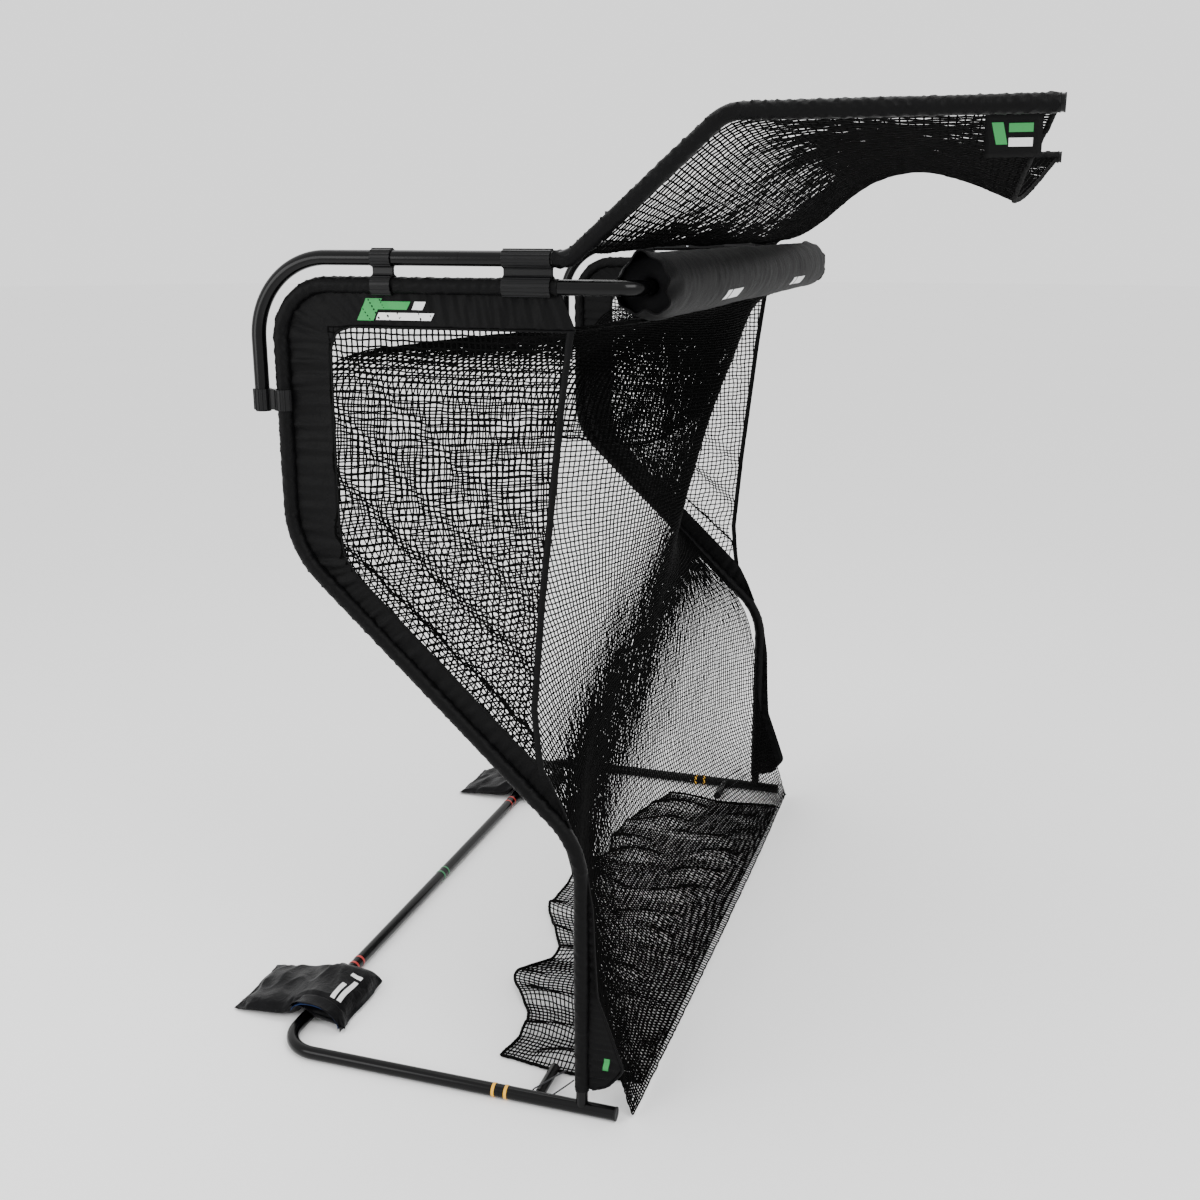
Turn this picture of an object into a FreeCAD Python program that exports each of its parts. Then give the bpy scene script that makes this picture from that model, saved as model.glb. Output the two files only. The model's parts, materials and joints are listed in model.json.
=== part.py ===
"""Free-standing golf return net: tube frame, nets, padded crossbar and overhead net. Millimetres.

The origin is on the floor, midway between the feet of the two front uprights. +X is the player's
right, +Y goes away from the player and +Z is up. Left parts have negative X.
"""

import FreeCAD, Part
import math
import os

import Sketcher

doc = FreeCAD.newDocument("return_net")
V = FreeCAD.Vector

# ---------------------------------------------------------------- driving dimensions
DIMENSIONS = [
    ("tube_diameter", 38.1, "Outside diameter of every frame tube"),
    ("tube_bore", 34.5, "Inside diameter of the tubes"),
    ("spigot_diameter", 34.0, "Outside diameter of a reduced end that enters the next tube"),
    ("spigot_bore", 30.4, "Inside diameter of a reduced end"),
    ("spigot_length", 60.0, "Length of a reduced end"),
    ("joint_gap", 0.4, "Gap between two tube ends at a joint"),
    ("half_width", 1201.0, "Middle plane to the axis of a side tube"),
    ("base_axis", 19.95, "Height of the base tubes' axis above the floor"),
    ("front_reach", 98.0, "How far the base tubes run in front of the uprights"),
    ("side_joint", 246.0, "Depth of the yellow joints in the base sides"),
    ("rear_bar", 967.0, "Depth of the rear bar's axis"),
    ("rear_joint", 700.0, "Middle plane to the red joints in the rear bar"),
    ("base_bend", 115.0, "Bend radius of the base's rear corners"),
    ("socket_height", 140.0, "Top of the pin that an upright stands on"),
    ("upright_foot", 75.0, "Height of an upright's lower end"),
    ("knee_height", 815.0, "Height where an upright turns back"),
    ("shoulder_depth", 810.0, "Depth of the rear vertical run"),
    ("shoulder_height", 1580.0, "Height where the slope turns up into the rear run"),
    ("upright_bend", 250.0, "Bend radius at knee and shoulder"),
    ("upright_joint", 1752.0, "Height of the joint in the rear run"),
    ("top_height", 2267.0, "Height of the top tubes' axis"),
    ("top_bend", 140.0, "Bend radius of the upper rear corner"),
    ("top_joint", 250.0, "Depth of the joint in the top run"),
    ("crossbar_depth", 150.0, "How far the crossbar stands in front of the uprights"),
    ("crossbar_bend", 60.0, "Bend radius of the crossbar's corners"),
    ("crossbar_joint", 700.0, "Middle plane to the crossbar's joints"),
    ("roof_offset", 66.0, "Roof tube's axis to the frame tube's axis"),
    ("roof_foot", 1945.0, "Height of the roof tube's lower end"),
    ("roof_joint", 303.0, "Depth of the joint in the roof tube"),
    ("roof_low_bend", 22.0, "Depth where the roof tube starts to rise"),
    ("roof_high_bend", 349.0, "How far in front the roof tube levels out"),
    ("roof_height", 2656.0, "Height of the level roof tubes' axis"),
    ("roof_reach", 1064.0, "How far the roof tubes reach in front"),
    ("roof_bend", 100.0, "Bend radius of the roof tube's two rising bends"),
    ("sleeve_diameter", 46.0, "Outside diameter of a fabric sleeve round a tube"),
    ("sleeve_bore", 38.9, "Inside diameter of a fabric sleeve"),
    ("border_thickness", 6.0, "Thickness of the flat fabric border"),
    ("border_rear", 670.0, "Depth of the window's rear edge"),
    ("border_top", 2163.0, "Height of the window's top edge"),
    ("border_slope", 106.0, "Height of the border above the sloping tube's axis"),
    ("border_front", 50.0, "Depth of the border's front end"),
    ("net_thickness", 6.0, "Thickness of a net's solid"),
    ("net_half", 1175.0, "Middle plane to the side edges of the nets"),
    ("layer_half", 611.0, "Half width of the upper layer"),
    ("binding_width", 18.0, "Width of the binding on a side net's front edge"),
    ("tail_half", 1030.0, "Half width of the net's tail on the floor"),
    ("tail_thickness", 4.6, "Thickness of the tail's solid"),
    ("pad_radius", 80.0, "Radius of the padded cover"),
    ("pad_bore", 39.0, "Diameter of the foam's bore"),
    ("foam_radius", 78.0, "Radius of the foam"),
    ("foam_half", 1110.0, "Half length of the foam"),
    ("cover_half", 1172.0, "Half length of the cover with its open ends"),
    ("cap_diameter", 39.9, "Diameter of an end cap's rim"),
    ("cap_rim", 4.0, "Thickness of an end cap's rim"),
    ("cap_plug", 22.0, "Length of an end cap's plug"),
    ("band_width", 9.0, "Width of a coloured band"),
    ("band_pitch", 19.0, "Half distance between the bands of a pair"),
    ("button_diameter", 7.6, "Diameter of a spring button"),
    ("button_hole", 8.4, "Diameter of the hole for a button"),
    ("button_proud", 4.0, "How far a button stands out of the tube"),
    ("button_inset", 40.0, "Joint to the button's axis"),
    ("pin_diameter", 30.0, "Diameter of the hook pin on a base side tube"),
    ("pin_length", 150.0, "Side tube's axis to the hook pin's end"),
    ("pin_depth", 135.0, "Depth of the hook pin"),
    ("elastic_diameter", 4.4, "Diameter of the elastic cord"),
    ("elastic_reach", 118.0, "Hook pin's axis to the elastic's ends"),
    ("clip_wall", 3.6, "Wall of a twin tube clip"),
    ("clip_short", 54.0, "Length of the short clips"),
    ("clip_long", 124.0, "Length of the front clips"),
    ("clip_rear_height", 1972.0, "Height of the rear clips' middle"),
    ("clip_mid_depth", 512.0, "Depth of the middle clips' middle"),
    ("clip_front_depth", 128.0, "Depth of the front clips' middle"),
    ("bag_middle", 905.0, "Middle plane to a sandbag's middle"),
    ("bag_length", 290.0, "Length of a sandbag along the rear bar"),
    ("bag_reach", 262.0, "Rear bar to the edge of a sandbag's rear pouch"),
    ("bag_front", 132.0, "Rear bar to the edge of a sandbag's front pouch"),
    ("bag_height", 76.0, "Height of a pouch beside the bar"),
    ("bag_edge", 24.0, "Height of the rear pouch near its edge"),
    ("bag_clearance", 5.0, "Gap between a sandbag and the rear bar"),
    ("floor_gap", 0.4, "Height of a sandbag's underside above the floor"),
]


class Size:
    """A length that knows its number and the expression that gives it from the sheet."""

    def __init__(self, number, text=None):
        self.number = float(number)
        self.text = text or repr(float(number))

    @staticmethod
    def of(value):
        return value if isinstance(value, Size) else Size(value)

    def __add__(self, other):
        other = Size.of(other)
        return Size(self.number + other.number, f"({self.text} + {other.text})")

    def __sub__(self, other):
        other = Size.of(other)
        return Size(self.number - other.number, f"({self.text} - {other.text})")

    def __mul__(self, other):
        other = Size.of(other)
        return Size(self.number * other.number, f"({self.text} * {other.text})")

    def __truediv__(self, other):
        other = Size.of(other)
        return Size(self.number / other.number, f"({self.text} / {other.text})")

    def __neg__(self):
        return Size(-self.number, f"(-1 * {self.text})")

    __radd__ = __add__
    __rmul__ = __mul__

    def __rsub__(self, other):
        return Size.of(other) - self

    def __float__(self):
        return self.number


class Sheet:
    """The driving dimensions by name, each one a Size bound to its cell."""


def fill_sheet():
    cells = doc.addObject("Spreadsheet::Sheet", "Dimensions")
    sizes = Sheet()
    for row, (alias, number, meaning) in enumerate(DIMENSIONS, start=1):
        cells.set(f"A{row}", meaning)
        cells.set(f"B{row}", str(number))
        cells.setAlias(f"B{row}", alias)
        setattr(sizes, alias, Size(number, f"Dimensions.{alias}"))
    doc.recompute()
    return sizes


S = fill_sheet()
PARTS = []
SIDES = (("left", -1), ("right", 1))


# ---------------------------------------------------------------- helpers for bodies and sketches
def keep(obj, label):
    """Names a finished sub-part and lists it for export."""
    obj.Label = label
    PARTS.append(obj)
    return obj


def bind(obj, prop, value):
    obj.setExpression(prop, Size.of(value).text)


def place(obj, x=0, y=0, z=0):
    for axis, value in zip("xyz", (x, y, z)):
        bind(obj, f"Placement.Base.{axis}", value)


def origin_plane(body, role):
    return next(f for f in body.Origin.OriginFeatures if f.Role == role)


def new_sketch(body, name, role, offset=None):
    """A sketch on one of the body's origin planes, moved along the plane's normal by offset."""
    sketch = body.newObject("Sketcher::SketchObject", name)
    sketch.AttachmentSupport = [(origin_plane(body, role), "")]
    sketch.MapMode = "FlatFace"
    if offset is not None:
        bind(sketch, "AttachmentOffset.Base.z", offset)
    return sketch


def pin_point(sketch, geo, pos, u, v):
    """Fixes a point of the sketch at (u, v) from its origin."""
    for kind, axis, value in (("DistanceX", -2, Size.of(u)), ("DistanceY", -1, Size.of(v))):
        if value.number == 0:
            sketch.addConstraint(Sketcher.Constraint("PointOnObject", geo, pos, axis))
            continue
        if value.number > 0:
            ends = (-1, 1, geo, pos)
        else:
            ends = (geo, pos, -1, 1)
            value = -value
        at = sketch.addConstraint(Sketcher.Constraint(kind, *ends, value.number))
        bind(sketch, f"Constraints[{at}]", value)


def circle(sketch, diameter, u=0, v=0):
    """A circle with its diameter and centre bound to the sheet."""
    diameter = Size.of(diameter)
    centre = V(float(Size.of(u)), float(Size.of(v)), 0)
    geo = sketch.addGeometry(Part.Circle(centre, V(0, 0, 1), diameter.number / 2))
    at = sketch.addConstraint(Sketcher.Constraint("Diameter", geo, diameter.number))
    bind(sketch, f"Constraints[{at}]", diameter)
    pin_point(sketch, geo, 3, u, v)
    return geo


def tangent_points(before, corner, after, radius):
    """Where an arc of this radius leaves the two straight runs that meet at a corner."""
    a = (before - corner).normalize()
    b = (after - corner).normalize()
    half = a.getAngle(b) / 2
    reach = radius / math.tan(half)
    middle = corner + (a + b).normalize() * (radius / math.sin(half))
    return corner + a * reach, corner + b * reach, middle


def rounded_runs(sketch, corners, radii, closed=False):
    """Straight runs through the corners, joined by tangent arcs. Guide lines hold the corners."""
    count = len(corners)
    points = [V(float(Size.of(u)), float(Size.of(v)), 0) for u, v in corners]
    runs = count if closed else count - 1
    guides = []
    for i in range(runs):
        line = Part.LineSegment(points[i], points[(i + 1) % count])
        guides.append(sketch.addGeometry(line, True))
    for i, (u, v) in enumerate(corners):
        if i < runs:
            pin_point(sketch, guides[i], 1, u, v)
        else:
            pin_point(sketch, guides[-1], 2, u, v)
        if 0 < i < runs:
            sketch.addConstraint(Sketcher.Constraint("Coincident", guides[i - 1], 2, guides[i], 1))
    if closed:
        sketch.addConstraint(Sketcher.Constraint("Coincident", guides[-1], 2, guides[0], 1))
    bends = {}
    for i in range(count):
        inside = closed or 0 < i < count - 1
        if inside and radii[i] is not None:
            radius = Size.of(radii[i])
            bends[i] = tangent_points(
                points[i - 1], points[i], points[(i + 1) % count], radius.number
            ) + (radius,)
    lines = []
    for i in range(runs):
        after = (i + 1) % count
        start = bends[i][1] if i in bends else points[i]
        end = bends[after][0] if after in bends else points[after]
        geo = sketch.addGeometry(Part.LineSegment(start, end), False)
        lines.append(geo)
        for pos, corner, guide_pos in ((1, i, 1), (2, after, 2)):
            if corner in bends:
                rule = Sketcher.Constraint("PointOnObject", geo, pos, guides[i])
            else:
                rule = Sketcher.Constraint("Coincident", geo, pos, guides[i], guide_pos)
            sketch.addConstraint(rule)
    for i, (start, end, middle, radius) in bends.items():
        turn = (start - middle).cross(end - middle).z
        first, last = (start, end) if turn > 0 else (end, start)
        angles = [math.atan2(p.y - middle.y, p.x - middle.x) for p in (first, last)]
        if angles[1] < angles[0]:
            angles[1] += 2 * math.pi
        flat = Part.Circle(middle, V(0, 0, 1), radius.number)
        geo = sketch.addGeometry(Part.ArcOfCircle(flat, *angles), False)
        before, after = lines[i - 1], lines[i % len(lines)]
        start_pos, end_pos = (1, 2) if turn > 0 else (2, 1)
        sketch.addConstraint(Sketcher.Constraint("Tangent", before, 2, geo, start_pos))
        sketch.addConstraint(Sketcher.Constraint("Tangent", after, 1, geo, end_pos))
        at = sketch.addConstraint(Sketcher.Constraint("Radius", geo, radius.number))
        bind(sketch, f"Constraints[{at}]", radius)
    if sketch.solve() != 0:
        raise RuntimeError(f"{sketch.Name} doesn't solve")


def new_body(name):
    return doc.addObject("PartDesign::Body", name)


def extrude(body, sketch, length, name, reverse=False, middle=False, cut=False):
    """A Pad, or a Pocket with cut, of a sketch."""
    kind = "PartDesign::Pocket" if cut else "PartDesign::Pad"
    feature = body.newObject(kind, name)
    feature.Profile = sketch
    bind(feature, "Length", length)
    feature.Reversed = reverse
    if middle:
        feature.Midplane = True
    return feature


def sweep(body, path_role, profile_role, corners, radius, diameters, name, cut=False):
    """A round bar, or a tube with two diameters, along rounded runs that start at the origin."""
    path = new_sketch(body, f"{name}_path", path_role)
    radii = radius if isinstance(radius, list) else [radius] * len(corners)
    rounded_runs(path, corners, radii)
    profile = new_sketch(body, f"{name}_profile", profile_role)
    for diameter in diameters:
        circle(profile, diameter)
    doc.recompute()
    kind = "PartDesign::SubtractivePipe" if cut else "PartDesign::AdditivePipe"
    pipe = body.newObject(kind, f"{name}_pipe")
    pipe.Profile = profile
    pipe.Spine = (path, [f"Edge{i + 1}" for i in range(len(path.Shape.Edges))])
    return pipe


def ring(body, role, diameters, length, name, offset=None, reverse=False, at=(0, 0)):
    """A straight ring or bar from one of the body's planes."""
    sketch = new_sketch(body, f"{name}_sketch", role, offset)
    for diameter in diameters:
        circle(sketch, diameter, *at)
    return extrude(body, sketch, length, name, reverse)


def reduced_end(body, role, name, outward, offset=None):
    """The reduced end of a tube: a root inside its wall, and the spigot that enters the next tube."""
    root = (S.tube_diameter - 1.5, S.spigot_bore)
    ring(body, role, root, 16, f"{name}_root", offset, reverse=not outward)
    ends = (S.spigot_diameter, S.spigot_bore)
    ring(body, role, ends, S.spigot_length, f"{name}_spigot", offset, reverse=outward)


def button_hole(body, role, at, name, reverse):
    """A hole through one wall, from the tube's axis outwards."""
    sketch = new_sketch(body, f"{name}_sketch", role)
    circle(sketch, S.button_hole, *at)
    extrude(body, sketch, S.tube_diameter, name, reverse, cut=True)


TUBE = (S.tube_diameter, S.tube_bore)


# ---------------------------------------------------------------- base
def base_side_tube(side, s):
    """Straight tube with the upright's pin, the hook pin and a reduced rear end."""
    body = new_body(f"base_side_{side}")
    length = S.side_joint + S.front_reach - S.joint_gap / 2
    ring(body, "XZ_Plane", TUBE, length, "wall")
    reduced_end(body, "XZ_Plane", "rear", outward=True)
    upright_pin = (S.spigot_diameter, S.spigot_bore)
    ring(body, "XY_Plane", upright_pin, S.socket_height - S.base_axis - 8, "upright_pin",
         offset=8, at=(0, -S.side_joint))
    hook_pin = (S.pin_diameter, S.pin_diameter - 4)
    ring(body, "YZ_Plane", hook_pin, S.pin_length - 8, "hook_pin",
         offset=8 * -s, reverse=s > 0, at=(S.pin_depth - S.side_joint, 0))
    button_hole(body, "YZ_Plane", (S.button_inset, 0), "hole", reverse=s < 0)
    place(body, S.half_width * s, S.side_joint - S.joint_gap / 2, S.base_axis)
    keep(body, f"base_side_tube_{side}")


def base_corner_tube(side, s):
    """Rear corner: from the yellow joint round the bend to the red joint."""
    body = new_body(f"base_corner_{side}")
    back = S.rear_bar - S.side_joint - S.joint_gap / 2
    inward = (S.rear_joint - S.half_width) * s
    corners = [(0, 0), (0, back), (inward + S.joint_gap / 2 * s, back)]
    sweep(body, "XY_Plane", "XZ_Plane", corners, S.base_bend, TUBE, "wall")
    button_hole(body, "YZ_Plane", (S.button_inset, 0), "side_hole", reverse=s < 0)
    sketch = new_sketch(body, "rear_hole_sketch", "XZ_Plane", offset=-back)
    circle(sketch, S.button_hole, inward + S.button_inset * s, 0)
    extrude(body, sketch, S.tube_diameter, "rear_hole", reverse=False, cut=True)
    place(body, S.half_width * s, S.side_joint + S.joint_gap / 2, S.base_axis)
    keep(body, f"base_corner_tube_{side}")


def base_rear_tube(side, s):
    """Half of the rear bar, with a reduced outer end. The left half also enters the right half."""
    body = new_body(f"base_rear_{side}")
    length = S.rear_joint - S.joint_gap
    ring(body, "YZ_Plane", TUBE, length, "wall", reverse=s > 0)
    reduced_end(body, "YZ_Plane", "outer", outward=s < 0)
    sketch = new_sketch(body, "outer_hole_sketch", "XZ_Plane")
    circle(sketch, S.button_hole, S.button_inset * s, 0)
    extrude(body, sketch, S.tube_diameter, "outer_hole", cut=True)
    if s < 0:
        reduced_end(body, "YZ_Plane", "inner", outward=False, offset=length)
    at_middle = length + S.button_inset if s < 0 else -length + S.button_inset
    sketch = new_sketch(body, "middle_hole_sketch", "XZ_Plane")
    circle(sketch, S.button_hole, at_middle, 0)
    extrude(body, sketch, S.tube_diameter, "middle_hole", cut=True)
    place(body, (S.rear_joint - S.joint_gap / 2) * s, S.rear_bar, S.base_axis)
    keep(body, f"base_rear_tube_{side}")


# ---------------------------------------------------------------- side frames
def upright_runs():
    """Corners of the lower upright, from its foot, as (depth, height)."""
    return [
        (0, 0),
        (0, S.knee_height - S.upright_foot),
        (S.shoulder_depth, S.shoulder_height - S.upright_foot),
        (S.shoulder_depth, S.upright_joint - S.upright_foot - S.joint_gap / 2),
    ]


def lower_upright(side, s):
    """Foot, knee, slope and shoulder, in one tube."""
    body = new_body(f"lower_upright_{side}")
    sweep(body, "YZ_Plane", "XY_Plane", upright_runs(), S.upright_bend, TUBE, "wall")
    place(body, S.half_width * s, 0, S.upright_foot)
    keep(body, f"lower_upright_{side}")


def upper_upright(side, s):
    """Rear run, upper rear corner and the rear half of the top run."""
    body = new_body(f"upper_upright_{side}")
    rise = S.top_height - S.upright_joint - S.joint_gap / 2
    corners = [(0, 0), (0, rise), (S.top_joint - S.shoulder_depth + S.joint_gap / 2, rise)]
    sweep(body, "YZ_Plane", "XY_Plane", corners, S.top_bend, TUBE, "wall")
    reduced_end(body, "XY_Plane", "lower", outward=True)
    place(body, S.half_width * s, S.shoulder_depth, S.upright_joint + S.joint_gap / 2)
    keep(body, f"upper_upright_{side}")


def top_corner_tube(side, s):
    """Front half of the top run, bent round into the crossbar."""
    body = new_body(f"top_corner_{side}")
    forward = -(S.top_joint + S.crossbar_depth - S.joint_gap / 2)
    inward = (S.crossbar_joint - S.half_width + S.joint_gap / 2) * s
    sweep(body, "XY_Plane", "XZ_Plane", [(0, 0), (0, forward), (inward, forward)],
          S.crossbar_bend, TUBE, "wall")
    reduced_end(body, "XZ_Plane", "rear", outward=True)
    place(body, S.half_width * s, S.top_joint - S.joint_gap / 2, S.top_height)
    keep(body, f"top_corner_tube_{side}")


def top_crossbar_tube():
    """Straight middle of the crossbar, reduced at both ends."""
    body = new_body("crossbar")
    length = (S.crossbar_joint - S.joint_gap / 2) * 2
    ring(body, "YZ_Plane", TUBE, length, "wall")
    reduced_end(body, "YZ_Plane", "left", outward=True)
    reduced_end(body, "YZ_Plane", "right", outward=False, offset=length)
    place(body, -(S.crossbar_joint - S.joint_gap / 2), -S.crossbar_depth, S.top_height)
    keep(body, "top_crossbar_tube")


# ---------------------------------------------------------------- roof frame
def roof_rear_tube(side, s):
    """Leg behind the rear run, corner, and the run above the top tube."""
    body = new_body(f"roof_rear_{side}")
    rise = S.top_height + S.roof_offset - S.roof_foot
    back = S.shoulder_depth + S.roof_offset
    corners = [(0, 0), (0, rise), (S.roof_joint - back + S.joint_gap / 2, rise)]
    sweep(body, "YZ_Plane", "XY_Plane", corners, S.top_bend + S.roof_offset, TUBE, "wall")
    sketch = new_sketch(body, "hole_sketch", "YZ_Plane")
    circle(sketch, S.button_hole, S.roof_joint - back + S.button_inset, rise)
    extrude(body, sketch, S.tube_diameter, "hole", reverse=s < 0, cut=True)
    place(body, S.half_width * s, back, S.roof_foot)
    keep(body, f"roof_rear_tube_{side}")


def roof_runs():
    """Corners of the roof's front tube, from its joint, as (depth, height)."""
    rise = S.roof_height - S.top_height - S.roof_offset
    return [
        (0, 0),
        (S.roof_low_bend - S.roof_joint, 0),
        (-S.roof_high_bend - S.roof_joint, rise),
        (-S.roof_reach - S.roof_joint, rise),
    ]


def roof_front_tube(side, s):
    """From the joint forward, up the slope and level over the player."""
    body = new_body(f"roof_front_{side}")
    sweep(body, "YZ_Plane", "XZ_Plane", roof_runs(), S.roof_bend, TUBE, "wall")
    reduced_end(body, "XZ_Plane", "rear", outward=True)
    button_hole(body, "YZ_Plane", (S.button_inset, 0), "hole", reverse=s < 0)
    place(body, S.half_width * s, S.roof_joint - S.joint_gap / 2, S.top_height + S.roof_offset)
    keep(body, f"roof_front_tube_{side}")


# ---------------------------------------------------------------- clips, caps, bands, buttons
def cylinder(name, radius, length, x=0, y=0, z=0, turn=None):
    """A bar that starts at the point, along Z unless it is turned."""
    bar = doc.addObject("Part::Cylinder", name)
    bind(bar, "Radius", radius)
    bind(bar, "Height", length)
    if turn is not None:
        bar.Placement = FreeCAD.Placement(V(0, 0, 0), turn)
    place(bar, x, y, z)
    return bar


def box(name, lengths, corner):
    block = doc.addObject("Part::Box", name)
    for prop, value in zip(("Length", "Width", "Height"), lengths):
        bind(block, prop, value)
    place(block, *corner)
    return block


def fuse(name, pieces):
    whole = doc.addObject("Part::MultiFuse", name)
    whole.Shapes = pieces
    return whole


def subtract(name, base, tool):
    rest = doc.addObject("Part::Cut", name)
    rest.Base = base
    rest.Tool = tool
    return rest


ALONG_DEPTH = FreeCAD.Rotation(V(1, 0, 0), -90)
SIDEWAYS = FreeCAD.Rotation(V(0, 1, 0), 90)
ABOUT_FACE = FreeCAD.Rotation(V(0, 0, 1), 180)
RIBS = 14


def twin_clip(label, length, centre, turn):
    """Ribbed clip round a roof tube, at its origin, and the sleeved frame tube, at +Y.

    The tubes run along Z before the turn. The frame ring is open for the fabric border.
    """
    solid, void = [], []
    roof_radius = S.tube_diameter / 2 + 0.4
    frame_radius = S.sleeve_diameter / 2 + 0.4
    for name, bore, y in (("roof", roof_radius, Size(0)), ("frame", frame_radius, S.roof_offset)):
        outer = bore + S.clip_wall
        solid.append(cylinder(f"{label}_{name}_ring", outer, length, 0, y, 0))
        void.append(cylinder(f"{label}_{name}_bore", bore, length + 4, 0, y, -2))
        for i in range(RIBS):
            angle = 2 * math.pi * i / RIBS
            solid.append(cylinder(f"{label}_{name}_rib_{i}", 1.8, length,
                                  outer * math.cos(angle), y + outer * math.sin(angle), 0))
    web = S.clip_wall * 3
    solid.append(box(f"{label}_web", (web, S.roof_offset, length), (web / -2, 0, 0)))
    void.append(box(f"{label}_slot", (20, S.sleeve_diameter, length + 4), (-10, S.roof_offset, -2)))
    clip = subtract(label, fuse(f"{label}_solid", solid), fuse(f"{label}_void", void))
    clip.Placement = FreeCAD.Placement(V(0, 0, 0), turn)
    place(clip, *centre)
    keep(clip, label)


def clips(side, s):
    x = S.half_width * s
    roof_level = S.top_height + S.roof_offset
    back = S.shoulder_depth + S.roof_offset
    twin_clip(f"clip_rear_{side}", S.clip_short,
              (x, back, S.clip_rear_height - S.clip_short / 2), ABOUT_FACE)
    twin_clip(f"clip_middle_{side}", S.clip_short,
              (x, S.clip_mid_depth - S.clip_short / 2, roof_level), ALONG_DEPTH)
    twin_clip(f"clip_front_{side}", S.clip_long,
              (x, S.clip_front_depth - S.clip_long / 2, roof_level), ALONG_DEPTH)


def end_cap(label, centre, turn):
    """Moulded cap: a rim over the tube's end and a plug inside it, which points along +Z."""
    rim = cylinder(f"{label}_rim", S.cap_diameter / 2, S.cap_rim, 0, 0, -S.cap_rim - 0.2)
    plug = cylinder(f"{label}_plug", S.tube_bore / 2 - 0.3, S.cap_plug + 0.2, 0, 0, -0.2)
    cap = fuse(label, [rim, plug])
    cap.Placement = FreeCAD.Placement(V(0, 0, 0), turn)
    place(cap, *centre)
    keep(cap, label)


def end_caps(side, s):
    x = S.half_width * s
    upwards = FreeCAD.Rotation()
    end_cap(f"base_end_cap_{side}", (x, -S.front_reach, S.base_axis), ALONG_DEPTH)
    end_cap(f"roof_end_cap_{side}", (x, -S.roof_reach, S.roof_height), ALONG_DEPTH)
    end_cap(f"roof_foot_cap_{side}", (x, S.shoulder_depth + S.roof_offset, S.roof_foot), upwards)


def pin_plugs():
    """The two rounded plugs that close the hook pins."""
    plugs = []
    for side, s in SIDES:
        end = (S.half_width - S.pin_length) * s
        inward = FreeCAD.Rotation(V(0, 1, 0), -90 * s)
        stem = cylinder(f"plug_stem_{side}", S.pin_diameter / 2 - 2.4, 14, turn=inward)
        place(stem, end + 12 * s, S.pin_depth, S.base_axis)
        head = cylinder(f"plug_head_{side}", S.pin_diameter / 2, 3, turn=inward)
        place(head, end - 0.2 * s, S.pin_depth, S.base_axis)
        plugs.append(fuse(f"pin_plug_{side}", [stem, head]))
    keep(fuse("pin_plugs_both", plugs), "hook_pin_plugs")


def band_pair(name, along, x, y):
    """A pair of coloured tape rings, one each side of a joint in a base tube."""
    rings = []
    for sign in (-1, 1):
        centre = S.band_pitch * sign - S.band_width / 2
        inner_shift = centre - 1
        if along == "Y":
            spots = ((x, y + centre), (x, y + inner_shift))
            turn = ALONG_DEPTH
        else:
            spots = ((x + centre, y), (x + inner_shift, y))
            turn = SIDEWAYS
        tape = cylinder(f"{name}_tape_{sign + 1}", S.cap_diameter / 2, S.band_width,
                        *spots[0], S.base_axis, turn)
        core = cylinder(f"{name}_core_{sign + 1}", S.tube_diameter / 2 + 0.2, S.band_width + 2,
                        *spots[1], S.base_axis, turn)
        rings.append(subtract(f"{name}_{sign + 1}", tape, core))
    return rings


def coloured_bands():
    yellow, red = [], []
    for side, s in SIDES:
        yellow += band_pair(f"yellow_{side}", "Y", S.half_width * s, S.side_joint)
        red += band_pair(f"red_{side}", "X", S.rear_joint * s, S.rear_bar)
    green = band_pair("green", "X", Size(0), S.rear_bar)
    keep(fuse("yellow_bands", yellow), "joint_bands_yellow")
    keep(fuse("red_bands", red), "joint_bands_red")
    keep(fuse("green_bands", green), "joint_bands_green")


def spring_button(label, centre, turn):
    """Domed button on its leaf, inside the reduced end, pointing along +Z before the turn."""
    stem_top = S.tube_diameter / 2 + S.button_proud - 1.5
    foot = 8
    stem = cylinder(f"{label}_stem", S.button_diameter / 2, stem_top - foot, 0, 0, foot)
    dome = doc.addObject("Part::Sphere", f"{label}_dome")
    bind(dome, "Radius", S.button_diameter / 2)
    place(dome, 0, 0, stem_top - S.button_diameter / 2 + 1.5)
    collar = cylinder(f"{label}_collar", S.button_diameter / 2 + 1.4, 1.2, 0, 0, foot)
    button = fuse(label, [stem, dome, collar])
    button.Placement = FreeCAD.Placement(V(0, 0, 0), turn)
    place(button, *centre)
    keep(button, label)


def spring_buttons():
    """One button per visible joint. They face inwards on the sides and backwards on the rear bar."""
    for side, s in SIDES:
        inward = FreeCAD.Rotation(V(0, 1, 0), -90 * s)
        x = S.half_width * s
        spring_button(f"button_base_side_{side}",
                      (x, S.side_joint + S.button_inset, S.base_axis), inward)
        spring_button(f"button_roof_{side}",
                      (x, S.roof_joint + S.button_inset, S.top_height + S.roof_offset), inward)
        spring_button(f"button_rear_{side}",
                      ((S.rear_joint + S.button_inset) * s, S.rear_bar, S.base_axis), ALONG_DEPTH)
    spring_button("button_rear_middle", (S.button_inset, S.rear_bar, S.base_axis), ALONG_DEPTH)


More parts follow.
